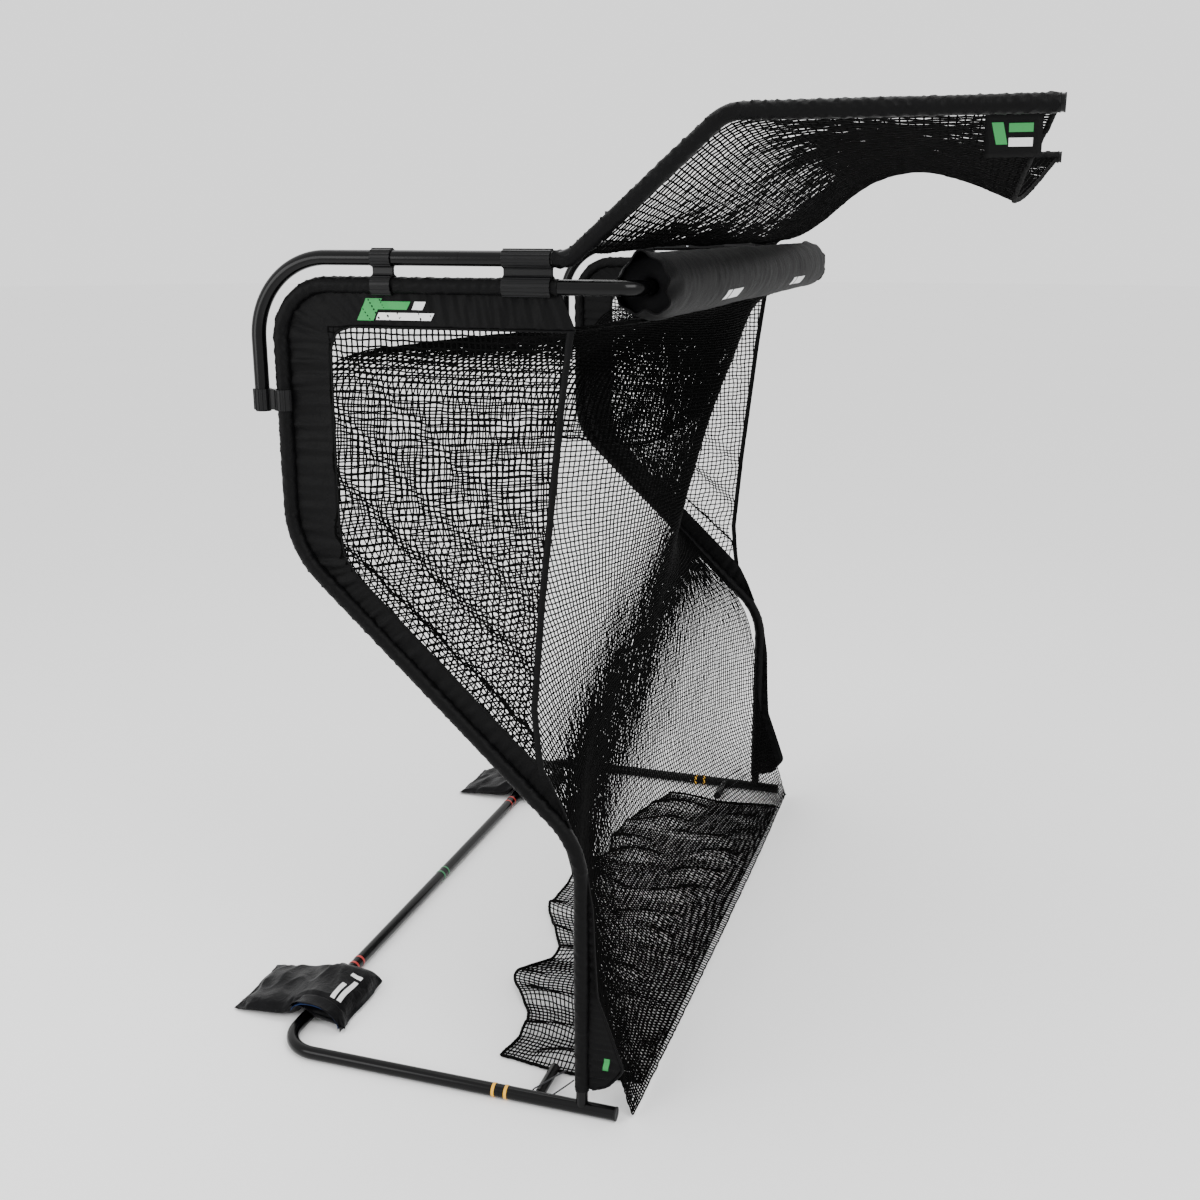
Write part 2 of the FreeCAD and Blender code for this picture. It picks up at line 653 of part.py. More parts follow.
# ---------------------------------------------------------------- fabric and nets
def side_border(side, s):
    """Fabric sleeve round the side frame's tube, with the flat border and the foot gusset."""
    body = new_body(f"side_border_{side}")
    foot = S.upright_foot + 5
    slope = (S.shoulder_height - S.knee_height) / S.shoulder_depth
    axis = [
        (0, 0),
        (0, S.knee_height - foot),
        (S.shoulder_depth, S.shoulder_height - foot),
        (S.shoulder_depth, S.top_height - foot),
        (S.border_front, S.top_height - foot),
    ]
    bends = [None, S.upright_bend, S.upright_bend, S.top_bend, None]
    sweep(body, "YZ_Plane", "XY_Plane", axis, bends, [S.sleeve_diameter], "sleeve")
    window_low = S.knee_height + S.border_slope - foot
    inner = [
        (S.border_front, S.border_top + 70 - foot),
        (8, S.border_top - foot),
        (S.border_rear, S.border_top - foot),
        (S.border_rear, window_low + slope * S.border_rear),
        (98, window_low + slope * 98),
        (15, 850 - foot),
        (-32, 640 - foot),
        (-46, 370 - foot),
        (-122, 162 - foot),
        (-76, 104 - foot),
    ]
    inner_bends = [None, None, 30, 60, None, 60, None, 40, 12, 20]
    sketch = new_sketch(body, "border_sketch", "YZ_Plane")
    rounded_runs(sketch, axis + inner, bends + inner_bends, closed=True)
    extrude(body, sketch, S.border_thickness, "border", middle=True)
    sweep(body, "YZ_Plane", "XY_Plane", axis, bends, [S.sleeve_bore], "bore", cut=True)
    place(body, S.half_width * s, 0, foot)
    keep(body, f"side_border_{side}")


def window_edge(depth):
    """Height of the border's sloping inner edge at this depth."""
    slope = (S.shoulder_height - S.knee_height) / S.shoulder_depth
    return S.knee_height + S.border_slope + slope * depth


def binding_edge(offset=0.0):
    """Front edge of the side net from its top, or a line behind it, as (depth, height)."""
    gap = 1
    return [
        (12 + offset, S.border_top - gap),
        (62 + offset, 1760),
        (118 + offset, 1190),
        (99 + offset, window_edge(99 + offset) + gap),
    ]


def side_net(side, s):
    """Net panel in the side frame's window, and the binding on its free front edge."""
    gap = 1
    top, high, low, bottom = binding_edge(S.binding_width + gap)
    rear = S.border_rear - gap
    panel = [top, (rear, S.border_top - gap), (rear, window_edge(rear) + gap), bottom, low, high]
    body = new_body(f"side_net_{side}")
    sketch = new_sketch(body, "panel_sketch", "YZ_Plane")
    rounded_runs(sketch, panel, [None, 31, 61, None, 400, 600], closed=True)
    extrude(body, sketch, S.net_thickness, "panel", middle=True)
    place(body, S.half_width * s)
    keep(body, f"side_net_{side}")
    body = new_body(f"side_binding_{side}")
    sketch = new_sketch(body, "binding_sketch", "YZ_Plane")
    outline = binding_edge() + binding_edge(S.binding_width)[::-1]
    rounded_runs(sketch, outline, [None, 600, 400, None, None, 400, 600, None], closed=True)
    extrude(body, sketch, S.net_thickness * 1.6, "binding", middle=True)
    place(body, S.half_width * s)
    keep(body, f"side_net_binding_{side}")


HALF_COLUMNS = 8


def crossing(u, roundness):
    """Height of a net's row above its middle, from 0 at the middle to 1 at a side edge."""
    return (math.hypot(u, roundness) - roundness) / (math.hypot(1, roundness) - roundness)


def net_rows(rows, roundness, half, swag):
    """Points of a net: a list for each row, from the left edge to the right edge.

    A row is (side depth, side height, middle depth, middle height). swag lowers the two quarters
    of the lower rows.
    """
    last = len(rows) - 1
    grid = []
    for i, (side_y, side_z, mid_y, mid_z) in enumerate(rows):
        line = []
        for k in range(-HALF_COLUMNS, HALF_COLUMNS + 1):
            u = k / HALF_COLUMNS
            rise = crossing(u, roundness[i])
            droop = swag * (i / last) ** 2 * math.sin(math.pi * abs(u)) ** 2
            depth = mid_y + (side_y - mid_y) * rise
            line.append(V(half * u, depth, mid_z + (side_z - mid_z) * rise - droop))
        grid.append(line)
    return grid


def moved_back(grid, distance):
    """The same points, each moved along the net's own normal, away from the player."""
    moved = []
    for i, line in enumerate(grid):
        above, below = grid[max(i - 1, 0)], grid[min(i + 1, len(grid) - 1)]
        new_line = []
        for k, point in enumerate(line):
            left, right = max(k - 1, 0), min(k + 1, len(line) - 1)
            normal = (below[k] - above[k]).cross(line[right] - line[left]).normalize()
            new_line.append(point - normal * distance)
        moved.append(new_line)
    return moved


def grid_surface(grid):
    """A smooth surface that the grid of points pulls into shape and never leaves."""
    surface = Part.BSplineSurface()
    degree = 2
    ends = []
    for count in (len(grid), len(grid[0])):
        inner = count - degree - 1
        ends.append(([degree + 1] + [1] * inner + [degree + 1], list(range(inner + 2))))
    (u_mults, u_knots), (v_mults, v_knots) = ends
    surface.buildFromPolesMultsKnots(
        grid, u_mults, v_mults, u_knots, v_knots, False, False, degree, degree
    )
    return surface


def rim_curves(surface):
    """The four edges of a surface, in order round it."""
    low_u, high_u, low_v, high_v = surface.bounds()
    return [surface.vIso(low_v), surface.uIso(high_u), surface.vIso(high_v), surface.uIso(low_u)]


def sheet_net(label, rows, roundness, half, shift=0.0, swag=0.0):
    """A net as one thin closed solid: two smooth faces and the four narrow faces of its rim."""
    grid = net_rows(rows, roundness, float(half), swag)
    fronts = grid_surface(moved_back(grid, shift))
    backs = grid_surface(moved_back(grid, shift + float(S.net_thickness)))
    faces = [fronts.toShape(), backs.toShape()]
    for near, far in zip(rim_curves(fronts), rim_curves(backs)):
        faces.append(Part.makeRuledSurface(near.toShape(), far.toShape()))
    shell = Part.makeShell(faces)
    shell.sewShape()
    solid = Part.makeSolid(shell)
    if solid.Volume < 0:
        solid.reverse()
    net = doc.addObject("Part::Feature", label)
    net.Shape = solid
    keep(net, label)


def main_net():
    """The sheet that stops the ball: crossbar, rear runs, slopes, and forward to the floor."""
    bar = -float(S.crossbar_depth)
    below_pad = float(S.top_height - S.pad_radius) - 6
    rear = float(S.shoulder_depth - S.sleeve_diameter / 2) - 30
    rows = [
        (bar + 20, below_pad, bar, below_pad),
        (330, 2140, -130, 2075),
        (rear - 20, 2080, -92, 1945),
        (rear, 1840, -42, 1780),
        (rear - 5, 1600, 18, 1590),
        (540, 1345, 85, 1375),
        (285, 1105, 152, 1165),
        (70, 870, 222, 930),
        (8, 640, 262, 700),
        (-4, 420, 280, 480),
        (-60, 255, 226, 285),
        (-108, 115, 95, 120),
        (-132, 30, -80, 32),
        (-142, 10, bar, 10),
    ]
    roundness = [0.3, 0.3, 0.25, 0.25, 0.3, 0.4, 0.6, 1, 2, 2, 2, 2, 2, 2]
    sheet_net("main_net", rows, roundness, S.net_half)


def upper_net_layer():
    """The second layer behind the middle of the main net's top, its hem in two swags."""
    bar = -float(S.crossbar_depth)
    below_pad = float(S.top_height - S.pad_radius) - 43
    rows = [
        (bar + 39, below_pad, bar + 11, below_pad - 22),
        (55, 2093, -130, 2075),
        (247, 1993, -92, 1945),
        (279, 1812, -52, 1820),
    ]
    roundness = [0.58, 0.58, 0.48, 0.48]
    sheet_net("upper_net_layer", rows, roundness, S.layer_half, shift=36.0, swag=60.0)


def roof_net():
    """The overhead net, hung between the roof tubes' sleeves with its front hem drawn back."""
    rows = [
        (-14, 2334, -120, 2364),
        (-90, 2398, -190, 2362),
        (-180, 2480, -262, 2368),
        (-270, 2562, -345, 2425),
        (-365, 2632, -425, 2492),
        (-470, 2648, -505, 2552),
        (-640, 2648, -625, 2578),
        (-850, 2648, -800, 2548),
        (-1050, 2648, -950, 2480),
    ]
    sheet_net("roof_net", rows, [2.0] * len(rows), S.net_half)


def tail_net():
    """The loose tail of the main net that lies flat on the floor."""
    body = new_body("tail_net")
    sketch = new_sketch(body, "tail_sketch", "XY_Plane")
    rear = [(980, 320), (620, 430), (230, 470), (0, 500), (-330, 440), (-640, 425), (-980, 330)]
    corners = [(-S.tail_half, -118), (S.tail_half, -118)] + rear
    rounded_runs(sketch, corners, [None, None, 30, 200, 200, 200, 200, 200, 30], closed=True)
    extrude(body, sketch, S.tail_thickness, "tail")
    keep(body, "tail_net")


def roof_sleeve(side, s):
    """Fabric sleeve on the rising and level part of a roof tube."""
    body = new_body(f"roof_sleeve_{side}")
    start = Size(61)
    rise = S.roof_height - S.top_height - S.roof_offset
    runs = [
        (0, 0),
        (S.roof_low_bend - start, 0),
        (-S.roof_high_bend - start, rise),
        (-S.roof_reach - start + 6, rise),
    ]
    diameters = (S.sleeve_diameter, S.sleeve_bore)
    sweep(body, "YZ_Plane", "XZ_Plane", runs, S.roof_bend, diameters, "sleeve")
    place(body, S.half_width * s, start, S.top_height + S.roof_offset)
    keep(body, f"roof_sleeve_{side}")


def crossbar_pad():
    """Foam round the crossbar, and its longer cover with open ends."""
    for label, outer, bore, half in (
        ("crossbar_pad_foam", S.foam_radius * 2, S.pad_bore, S.foam_half),
        ("crossbar_pad_cover", S.pad_radius * 2, S.foam_radius * 2 + 1, S.cover_half),
    ):
        body = new_body(label + "_body")
        ring(body, "YZ_Plane", (outer, bore), half * 2, "ring")
        place(body, -half, -S.crossbar_depth, S.top_height)
        keep(body, label)


def sandbag(side, s):
    """Two filled pouches joined by a saddle that lies over the rear bar."""
    body = new_body(f"sandbag_{side}_body")
    tunnel = S.tube_diameter / 2 + S.bag_clearance
    roof = S.base_axis + tunnel
    low = S.floor_gap
    outline = [
        (-S.bag_front, low), (-tunnel, low), (-tunnel, roof), (tunnel, roof), (tunnel, low),
        (S.bag_reach, low), (S.bag_reach - 24, S.bag_edge), (96, S.bag_height - 8),
        (30, roof + 12), (-30, roof + 12), (-64, S.bag_height), (8 - S.bag_front, S.bag_height - 8),
    ]
    bends = [8, 6, 14, 14, 6, 6, 12, 40, 20, 8, 12, 24]
    sketch = new_sketch(body, "outline_sketch", "YZ_Plane")
    rounded_runs(sketch, outline, bends, closed=True)
    extrude(body, sketch, S.bag_length, "bag", middle=True)
    place(body, S.bag_middle * s, S.rear_bar, 0)
    keep(body, f"sandbag_{side}")


ELASTIC_LEAN = 130


def elastic_loop(side, s):
    """Elastic cord from the foot gusset round the hook pin and back."""
    body = new_body(f"elastic_{side}_body")
    bend = S.pin_diameter / 2 + 0.3 + S.elastic_diameter / 2
    reach = S.elastic_reach
    corners = [(0, 0), (0, reach + bend), (bend * 2, reach + bend), (bend * 2, 0)]
    sweep(body, "YZ_Plane", "XY_Plane", corners, [None, bend - 0.01, bend - 0.01, None],
          [S.elastic_diameter], "cord")
    lean = math.radians(-ELASTIC_LEAN)
    body.Placement = FreeCAD.Placement(V(0, 0, 0), FreeCAD.Rotation(V(1, 0, 0), -ELASTIC_LEAN))
    across = V(0, math.cos(lean), math.sin(lean))
    along = V(0, -math.sin(lean), math.cos(lean))
    start_y = S.pin_depth - reach * along.y - bend * across.y
    start_z = S.base_axis - reach * along.z - bend * across.z
    place(body, (S.half_width - S.sleeve_diameter / 2 - 3) * s, start_y, start_z)
    keep(body, f"elastic_loop_{side}")


def build_all():
    for side, s in SIDES:
        base_side_tube(side, s)
        base_corner_tube(side, s)
        base_rear_tube(side, s)
        lower_upright(side, s)
        upper_upright(side, s)
        top_corner_tube(side, s)
        roof_rear_tube(side, s)
        roof_front_tube(side, s)
        clips(side, s)
        end_caps(side, s)
        side_border(side, s)
        side_net(side, s)
        roof_sleeve(side, s)
        sandbag(side, s)
        elastic_loop(side, s)
    top_crossbar_tube()
    pin_plugs()
    coloured_bands()
    spring_buttons()
    main_net()
    upper_net_layer()
    roof_net()
    tail_net()
    crossbar_pad()


def export():
    doc.recompute()
    for obj in doc.Objects:
        if "Invalid" in obj.State or "Error" in obj.State:
            raise RuntimeError(f"{obj.Name} failed: {obj.State}")
    os.makedirs("parts", exist_ok=True)
    for obj in PARTS:
        shape = obj.Shape
        if not shape.Solids or not shape.isValid() or shape.Volume <= 0:
            raise RuntimeError(f"{obj.Label} has no valid shape")
        shape.exportStep(f"parts/{obj.Label}.step")
        print(f"{obj.Label}: {shape.Volume / 1000:.1f} cm3, {len(shape.Solids)} solids")


build_all()
export()
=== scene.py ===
"""Nets, fabric, padding and finishes of a free-standing practice net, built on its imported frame.

Metres. X is the player's right, Y goes away from the player and Z is up. Left parts have negative X.
"""

import json
import math

import bpy
import numpy as np
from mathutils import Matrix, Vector

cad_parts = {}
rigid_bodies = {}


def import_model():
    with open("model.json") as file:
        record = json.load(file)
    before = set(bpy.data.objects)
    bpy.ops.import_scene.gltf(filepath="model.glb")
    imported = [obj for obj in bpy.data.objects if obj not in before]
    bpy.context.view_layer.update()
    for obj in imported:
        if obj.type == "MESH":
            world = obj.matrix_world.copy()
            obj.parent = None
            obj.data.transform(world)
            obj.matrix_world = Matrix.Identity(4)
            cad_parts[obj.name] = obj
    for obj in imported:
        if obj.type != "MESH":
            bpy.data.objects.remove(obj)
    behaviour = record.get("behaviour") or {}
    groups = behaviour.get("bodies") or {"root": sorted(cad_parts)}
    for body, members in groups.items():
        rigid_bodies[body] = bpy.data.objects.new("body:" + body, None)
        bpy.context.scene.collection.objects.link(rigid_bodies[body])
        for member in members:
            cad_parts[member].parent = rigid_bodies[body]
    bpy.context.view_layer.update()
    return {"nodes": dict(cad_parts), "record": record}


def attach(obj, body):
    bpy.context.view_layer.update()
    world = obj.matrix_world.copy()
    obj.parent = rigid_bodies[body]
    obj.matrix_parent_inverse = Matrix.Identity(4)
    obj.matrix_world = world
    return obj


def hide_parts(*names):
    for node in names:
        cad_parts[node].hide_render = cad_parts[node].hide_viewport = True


bl_info = {
    "name": "Practice Net",
    "version": (1, 0, 0),
    "blender": (4, 5, 0),
    "location": "3D View > Sidebar > Practice Net",
    "description": "Builds the nets, fabric, padding and finishes of a practice net",
    "category": "Object",
}

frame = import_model()
SIDES = (("left", -1), ("right", 1))
TUBE_X = 1.201  # middle of a side frame's tubes
PAD_Y, PAD_Z = -0.150, 2.267  # middle line of the crossbar's pad
BAG_X, BAG_Y = 0.905, 0.967  # middle of a sandbag, over the rear bar
UP = np.array([0.0, 0.0, 1.0])
PLAYERS_RIGHT = np.array([1.0, 0.0, 0.0])


def srgb(code):
    """A hex colour as the linear numbers that a shader takes."""
    values = [int(code[i:i + 2], 16) / 255 for i in (1, 3, 5)]
    return [v / 12.92 if v <= 0.04045 else ((v + 0.055) / 1.055) ** 2.4 for v in values]


# ---------------------------------------------------------------- what a user would change
class NetSizes(bpy.types.PropertyGroup):
    """Sizes of the netting"""

    mesh_size: bpy.props.FloatProperty(
        name="Mesh size", description="Distance between neighbouring cords of a net",
        default=0.016, min=0.01, max=0.05, unit="LENGTH")
    cord_size: bpy.props.FloatProperty(
        name="Cord size", description="Diameter of a net's cord",
        default=0.005, min=0.001, max=0.008, unit="LENGTH")
    slack: bpy.props.FloatProperty(
        name="Slack", description="How far a crossing strays from an even net",
        default=0.0016, min=0, max=0.005, unit="LENGTH")


class FabricLook(bpy.types.PropertyGroup):
    """Sizes and colours of the sleeves, covers and bags"""

    crease: bpy.props.FloatProperty(
        name="Crease depth", description="Depth of the creases in the sleeves",
        default=0.0032, min=0, max=0.01, unit="LENGTH")
    nylon: bpy.props.FloatVectorProperty(
        name="Nylon", description="Colour of sleeves, borders and covers",
        subtype="COLOR", size=3, min=0, max=1, default=srgb("#030303"))
    cord: bpy.props.FloatVectorProperty(
        name="Net cord", description="Colour of the nets",
        subtype="COLOR", size=3, min=0, max=1, default=srgb("#020202"))
    lining: bpy.props.FloatVectorProperty(
        name="Bag lining", description="Colour inside a sandbag's flap",
        subtype="COLOR", size=3, min=0, max=1, default=srgb("#1b2a4a"))
    green: bpy.props.FloatVectorProperty(
        name="Green print", description="Colour of the green ink",
        subtype="COLOR", size=3, min=0, max=1, default=srgb("#0a8a3c"))
    white: bpy.props.FloatVectorProperty(
        name="White print", description="Colour of the white ink",
        subtype="COLOR", size=3, min=0, max=1, default=srgb("#e6e6e6"))


class StageLook(bpy.types.PropertyGroup):
    """Floor and light"""

    floor: bpy.props.FloatVectorProperty(
        name="Floor", description="Colour of the floor",
        subtype="COLOR", size=3, min=0, max=1, default=srgb("#fbfbfb"))
    light: bpy.props.FloatProperty(
        name="Light", description="Power of the large soft light",
        default=170, min=0, max=4000, unit="POWER")


# ---------------------------------------------------------------- materials
def add_node(tree, kind, settings=None, inputs=None, links=None):
    """Adds a node with its settings, its input values and the outputs that feed it."""
    node = tree.nodes.new(kind)
    for name, value in (settings or {}).items():
        setattr(node, name, value)
    for name, value in (inputs or {}).items():
        node.inputs[name].default_value = value
    for name, output in (links or {}).items():
        tree.links.new(output, node.inputs[name])
    return node


def start_material(name, colour, roughness, **shader_inputs):
    """A new material with its main shader, which gets the values that are the same all over."""
    material = bpy.data.materials.new(name)
    material.use_nodes = True
    tree = material.node_tree
    shader = tree.nodes["Principled BSDF"]
    shader.inputs["Base Color"].default_value = (*colour[:3], 1)
    shader.inputs["Roughness"].default_value = roughness
    for key, value in shader_inputs.items():
        shader.inputs[key.replace("_", " ").title().replace("Ior", "IOR")].default_value = value
    return material, tree, shader


def vary(tree, shader, vector, scale, dark, light, low, high):
    """Cloudy change of colour and roughness over the surface."""
    cloud = add_node(tree, "ShaderNodeTexNoise", inputs={"Scale": scale, "Detail": 6.0},
                     links={"Vector": vector})
    tint = add_node(tree, "ShaderNodeMix", {"data_type": "RGBA"},
                    links={"Factor": cloud.outputs["Fac"]})
    for socket, value in zip([i for i in tint.inputs if i.type == "RGBA"], (dark, light)):
        socket.default_value = (*value[:3], 1)
    colour_out = next(o for o in tint.outputs if o.type == "RGBA")
    tree.links.new(colour_out, shader.inputs["Base Color"])
    rough = add_node(tree, "ShaderNodeMapRange", inputs={"To Min": low, "To Max": high},
                     links={"Value": cloud.outputs["Fac"]})
    tree.links.new(rough.outputs["Result"], shader.inputs["Roughness"])


def bump(tree, shader, height, distance, strength=1.0, below=None):
    """Relief from a height between 0 and 1 that stands this many metres high."""
    inputs = {"Distance": distance, "Strength": strength}
    relief = add_node(tree, "ShaderNodeBump", inputs=inputs, links={"Height": height})
    if below is not None:
        tree.links.new(below.outputs["Normal"], relief.inputs["Normal"])
    tree.links.new(relief.outputs["Normal"], shader.inputs["Normal"])
    return relief


def weave_height(tree, vector, thread):
    """Over and under threads of a plain weave, one thread every so many metres."""
    scale = 1 / (math.pi * thread)  # at scale 1 a wave repeats about every 1 / pi metres
    heights = []
    for direction in ("X", "Y"):
        wave = add_node(tree, "ShaderNodeTexWave", {"bands_direction": direction},
                        {"Scale": scale, "Distortion": 0.6, "Detail": 1.0},
                        {"Vector": vector})
        heights.append(wave.outputs["Fac"])
    return add_node(tree, "ShaderNodeMath", {"operation": "MULTIPLY"},
                    links={0: heights[0], 1: heights[1]}).outputs["Value"]


def powder_coated_aluminium():
    """Gloss black powder coat on aluminium tube: deep reflections, faint orange peel 4 mm across."""
    material, tree, shader = start_material(
        "powder_coated_aluminium", srgb("#030303"), 0.2, specular_ior_level=0.17)
    place = add_node(tree, "ShaderNodeTexCoord").outputs["Object"]
    vary(tree, shader, place, 9.0, srgb("#020202"), srgb("#060607"), 0.12, 0.22)
    peel = add_node(tree, "ShaderNodeTexNoise", inputs={"Scale": 250.0, "Detail": 2.0},
                    links={"Vector": place})
    scuff = add_node(tree, "ShaderNodeTexNoise", inputs={"Scale": 34.0, "Detail": 8.0},
                     links={"Vector": place})
    low = bump(tree, shader, scuff.outputs["Fac"], 0.0004, 0.3)
    bump(tree, shader, peel.outputs["Fac"], 0.0003, 0.25, low)
    return material


def moulded_plastic(name, code, light_code, roughness):
    """Moulded polypropylene: even colour with a fine sparked texture, 1.5 mm grain."""
    material, tree, shader = start_material(name, srgb(code), roughness, specular_ior_level=0.2)
    place = add_node(tree, "ShaderNodeTexCoord").outputs["Object"]
    vary(tree, shader, place, 22.0, srgb(code), srgb(light_code), roughness, roughness + 0.14)
    grain = add_node(tree, "ShaderNodeTexNoise", inputs={"Scale": 650.0, "Detail": 3.0},
                     links={"Vector": place})
    bump(tree, shader, grain.outputs["Fac"], 0.0003, 0.4)
    return material


def vinyl_tape(name, code, worn_code):
    """Glossy vinyl tape: saturated, a little rubbed, with a stretched surface."""
    material, tree, shader = start_material(name, srgb(code), 0.32, ior=1.53)
    place = add_node(tree, "ShaderNodeTexCoord").outputs["Object"]
    vary(tree, shader, place, 120.0, srgb(worn_code), srgb(code), 0.26, 0.48)
    stretch = add_node(tree, "ShaderNodeTexNoise", inputs={"Scale": 400.0, "Detail": 2.0},
                       links={"Vector": place})
    bump(tree, shader, stretch.outputs["Fac"], 0.0002, 0.3)
    return material


def zinc_plated_steel():
    """Zinc-plated steel: bright, faintly clouded, with fine draw marks."""
    material, tree, shader = start_material("zinc_plated_steel", srgb("#b9bcc0"), 0.3, metallic=1.0)
    place = add_node(tree, "ShaderNodeTexCoord").outputs["Object"]
    vary(tree, shader, place, 300.0, srgb("#a4a8ad"), srgb("#c9ccd0"), 0.22, 0.42)
    marks = add_node(tree, "ShaderNodeTexNoise", inputs={"Scale": 900.0, "Detail": 2.0},
                     links={"Vector": place})
    bump(tree, shader, marks.outputs["Fac"], 0.0001, 0.3)
    return material


def woven_nylon(name, colour, light, roughness, thread, crumple, sewn=True):
    """Coated nylon oxford: a plain weave under a thin film, so folds catch a soft sheen.

    The threads are 0.5 mm in the cloth and drawn several times coarser, so that they show.
    """
    material, tree, shader = start_material(name, colour, roughness, specular_ior_level=0.08)
    place = add_node(tree, "ShaderNodeTexCoord").outputs["Object"]
    flat = place
    if sewn:
        flat = add_node(tree, "ShaderNodeUVMap", {"uv_map": "cloth"}).outputs["UV"]
    vary(tree, shader, place, 14.0, colour, light, roughness - 0.08, roughness + 0.1)
    folds = add_node(tree, "ShaderNodeTexNoise",
                     inputs={"Scale": 30.0, "Detail": 5.0, "Distortion": 1.2},
                     links={"Vector": place})
    low = bump(tree, shader, folds.outputs["Fac"], crumple, 0.55)
    bump(tree, shader, weave_height(tree, flat, thread), 0.0005, 0.5, low)
    return material


def polyester_cord(name, colour):
    """Knotless polyester cord: matt, its twist drawn 5 mm long so that it shows."""
    material, tree, shader = start_material(name, colour, 0.8, specular_ior_level=0.04)
    place = add_node(tree, "ShaderNodeTexCoord").outputs["Object"]
    light = [c * 1.8 + 0.001 for c in colour]
    vary(tree, shader, place, 60.0, colour, light, 0.68, 0.9)
    twist = add_node(tree, "ShaderNodeTexNoise", inputs={"Scale": 420.0, "Detail": 2.0},
                     links={"Vector": place})
    bump(tree, shader, twist.outputs["Fac"], 0.0005, 0.6)
    return material


def braided_elastic():
    """Braided elastic: a dark sleeve of crossing strands, 2 mm apart."""
    material, tree, shader = start_material("braided_elastic", srgb("#121214"), 0.7, ior=1.5)
    place = add_node(tree, "ShaderNodeTexCoord").outputs["Object"]
    vary(tree, shader, place, 500.0, srgb("#0d0d0f"), srgb("#25252a"), 0.6, 0.8)
    strands = add_node(tree, "ShaderNodeTexWave", {"bands_direction": "DIAGONAL"},
                       {"Scale": 160.0, "Distortion": 1.0}, {"Vector": place})
    bump(tree, shader, strands.outputs["Fac"], 0.0004, 0.6)
    return material


def closed_cell_foam():
    """Extruded polyethylene foam: dull black with cells about 2 mm across."""
    material, tree, shader = start_material("closed_cell_foam", srgb("#101011"), 0.85, specular_ior_level=0.2)
    place = add_node(tree, "ShaderNodeTexCoord").outputs["Object"]
    vary(tree, shader, place, 40.0, srgb("#0c0c0d"), srgb("#161618"), 0.78, 0.95)
    cells = add_node(tree, "ShaderNodeTexVoronoi", inputs={"Scale": 450.0},
                     links={"Vector": place})
    bump(tree, shader, cells.outputs["Distance"], 0.0006, 0.7)
    return material


def screen_ink(name, colour):
    """Screen-printed ink on nylon: satin, thin over the weave, so that it looks a little worn."""
    material, tree, shader = start_material(name, colour, 0.5, ior=1.5)
    place = add_node(tree, "ShaderNodeTexCoord").outputs["Object"]
    vary(tree, shader, place, 160.0, [c * 0.8 for c in colour], colour, 0.42, 0.6)
    weave = add_node(tree, "ShaderNodeTexNoise", inputs={"Scale": 700.0, "Detail": 2.0},
                     links={"Vector": place})
    bump(tree, shader, weave.outputs["Fac"], 0.0002, 0.5)
    return material


FINISHES = {}


def finish_of(name):
    """The material of this name, made when it is first asked for."""
    look = bpy.context.scene.fabric_look
    makers = {
        "powder_coated_aluminium": powder_coated_aluminium,
        "clip_plastic": lambda: moulded_plastic("clip_plastic", "#030303", "#08080a", 0.28),
        "cap_plastic": lambda: moulded_plastic("cap_plastic", "#060607", "#0d0d0f", 0.5),
        "yellow_vinyl": lambda: vinyl_tape("yellow_vinyl", "#f5b400", "#d09600"),
        "red_vinyl": lambda: vinyl_tape("red_vinyl", "#b5211b", "#8a1a15"),
        "green_vinyl": lambda: vinyl_tape("green_vinyl", "#157a45", "#0f5c35"),
        "zinc_plated_steel": zinc_plated_steel,
        "sleeve_nylon": lambda: woven_nylon(
            "sleeve_nylon", list(look.nylon), srgb("#070708"), 0.44, 0.003, 0.004),
        "cover_nylon": lambda: woven_nylon(
            "cover_nylon", list(look.nylon), srgb("#050506"), 0.62, 0.003, 0.002),
        "bag_nylon": lambda: woven_nylon(
            "bag_nylon", srgb("#030304"), srgb("#08080a"), 0.4, 0.003, 0.005,
            sewn=False),
        "lining_nylon": lambda: woven_nylon(
            "lining_nylon", list(look.lining), srgb("#2a3d68"), 0.5, 0.003, 0.004),
        "net_cord": lambda: polyester_cord("net_cord", list(look.cord)),
        "hem_tape": lambda: polyester_cord("hem_tape", srgb("#030303")),
        "braided_elastic": braided_elastic,
        "closed_cell_foam": closed_cell_foam,
        "green_ink": lambda: screen_ink("green_ink", list(look.green)),
        "white_ink": lambda: screen_ink("white_ink", list(look.white)),
    }
    if name not in FINISHES:
        FINISHES[name] = makers[name]()
    return FINISHES[name]


# ---------------------------------------------------------------- shapes of cord and cloth
def unit(vectors):
    """The same directions with length 1."""
    return vectors / np.maximum(np.linalg.norm(vectors, axis=-1, keepdims=True), 1e-12)


def running_length(points):
    """Distance from the first point to each point of a line."""
    steps = np.linalg.norm(np.diff(points, axis=0), axis=1)
    return np.concatenate([[0.0], np.cumsum(steps)])


def even_line(points, step):
    """The same line with its points about one step apart."""
    at = running_length(points)
    count = max(2, int(round(at[-1] / step)) + 1)
    targets = np.linspace(0, at[-1], count)
    return np.stack([np.interp(targets, at, points[:, i]) for i in range(3)], axis=1)


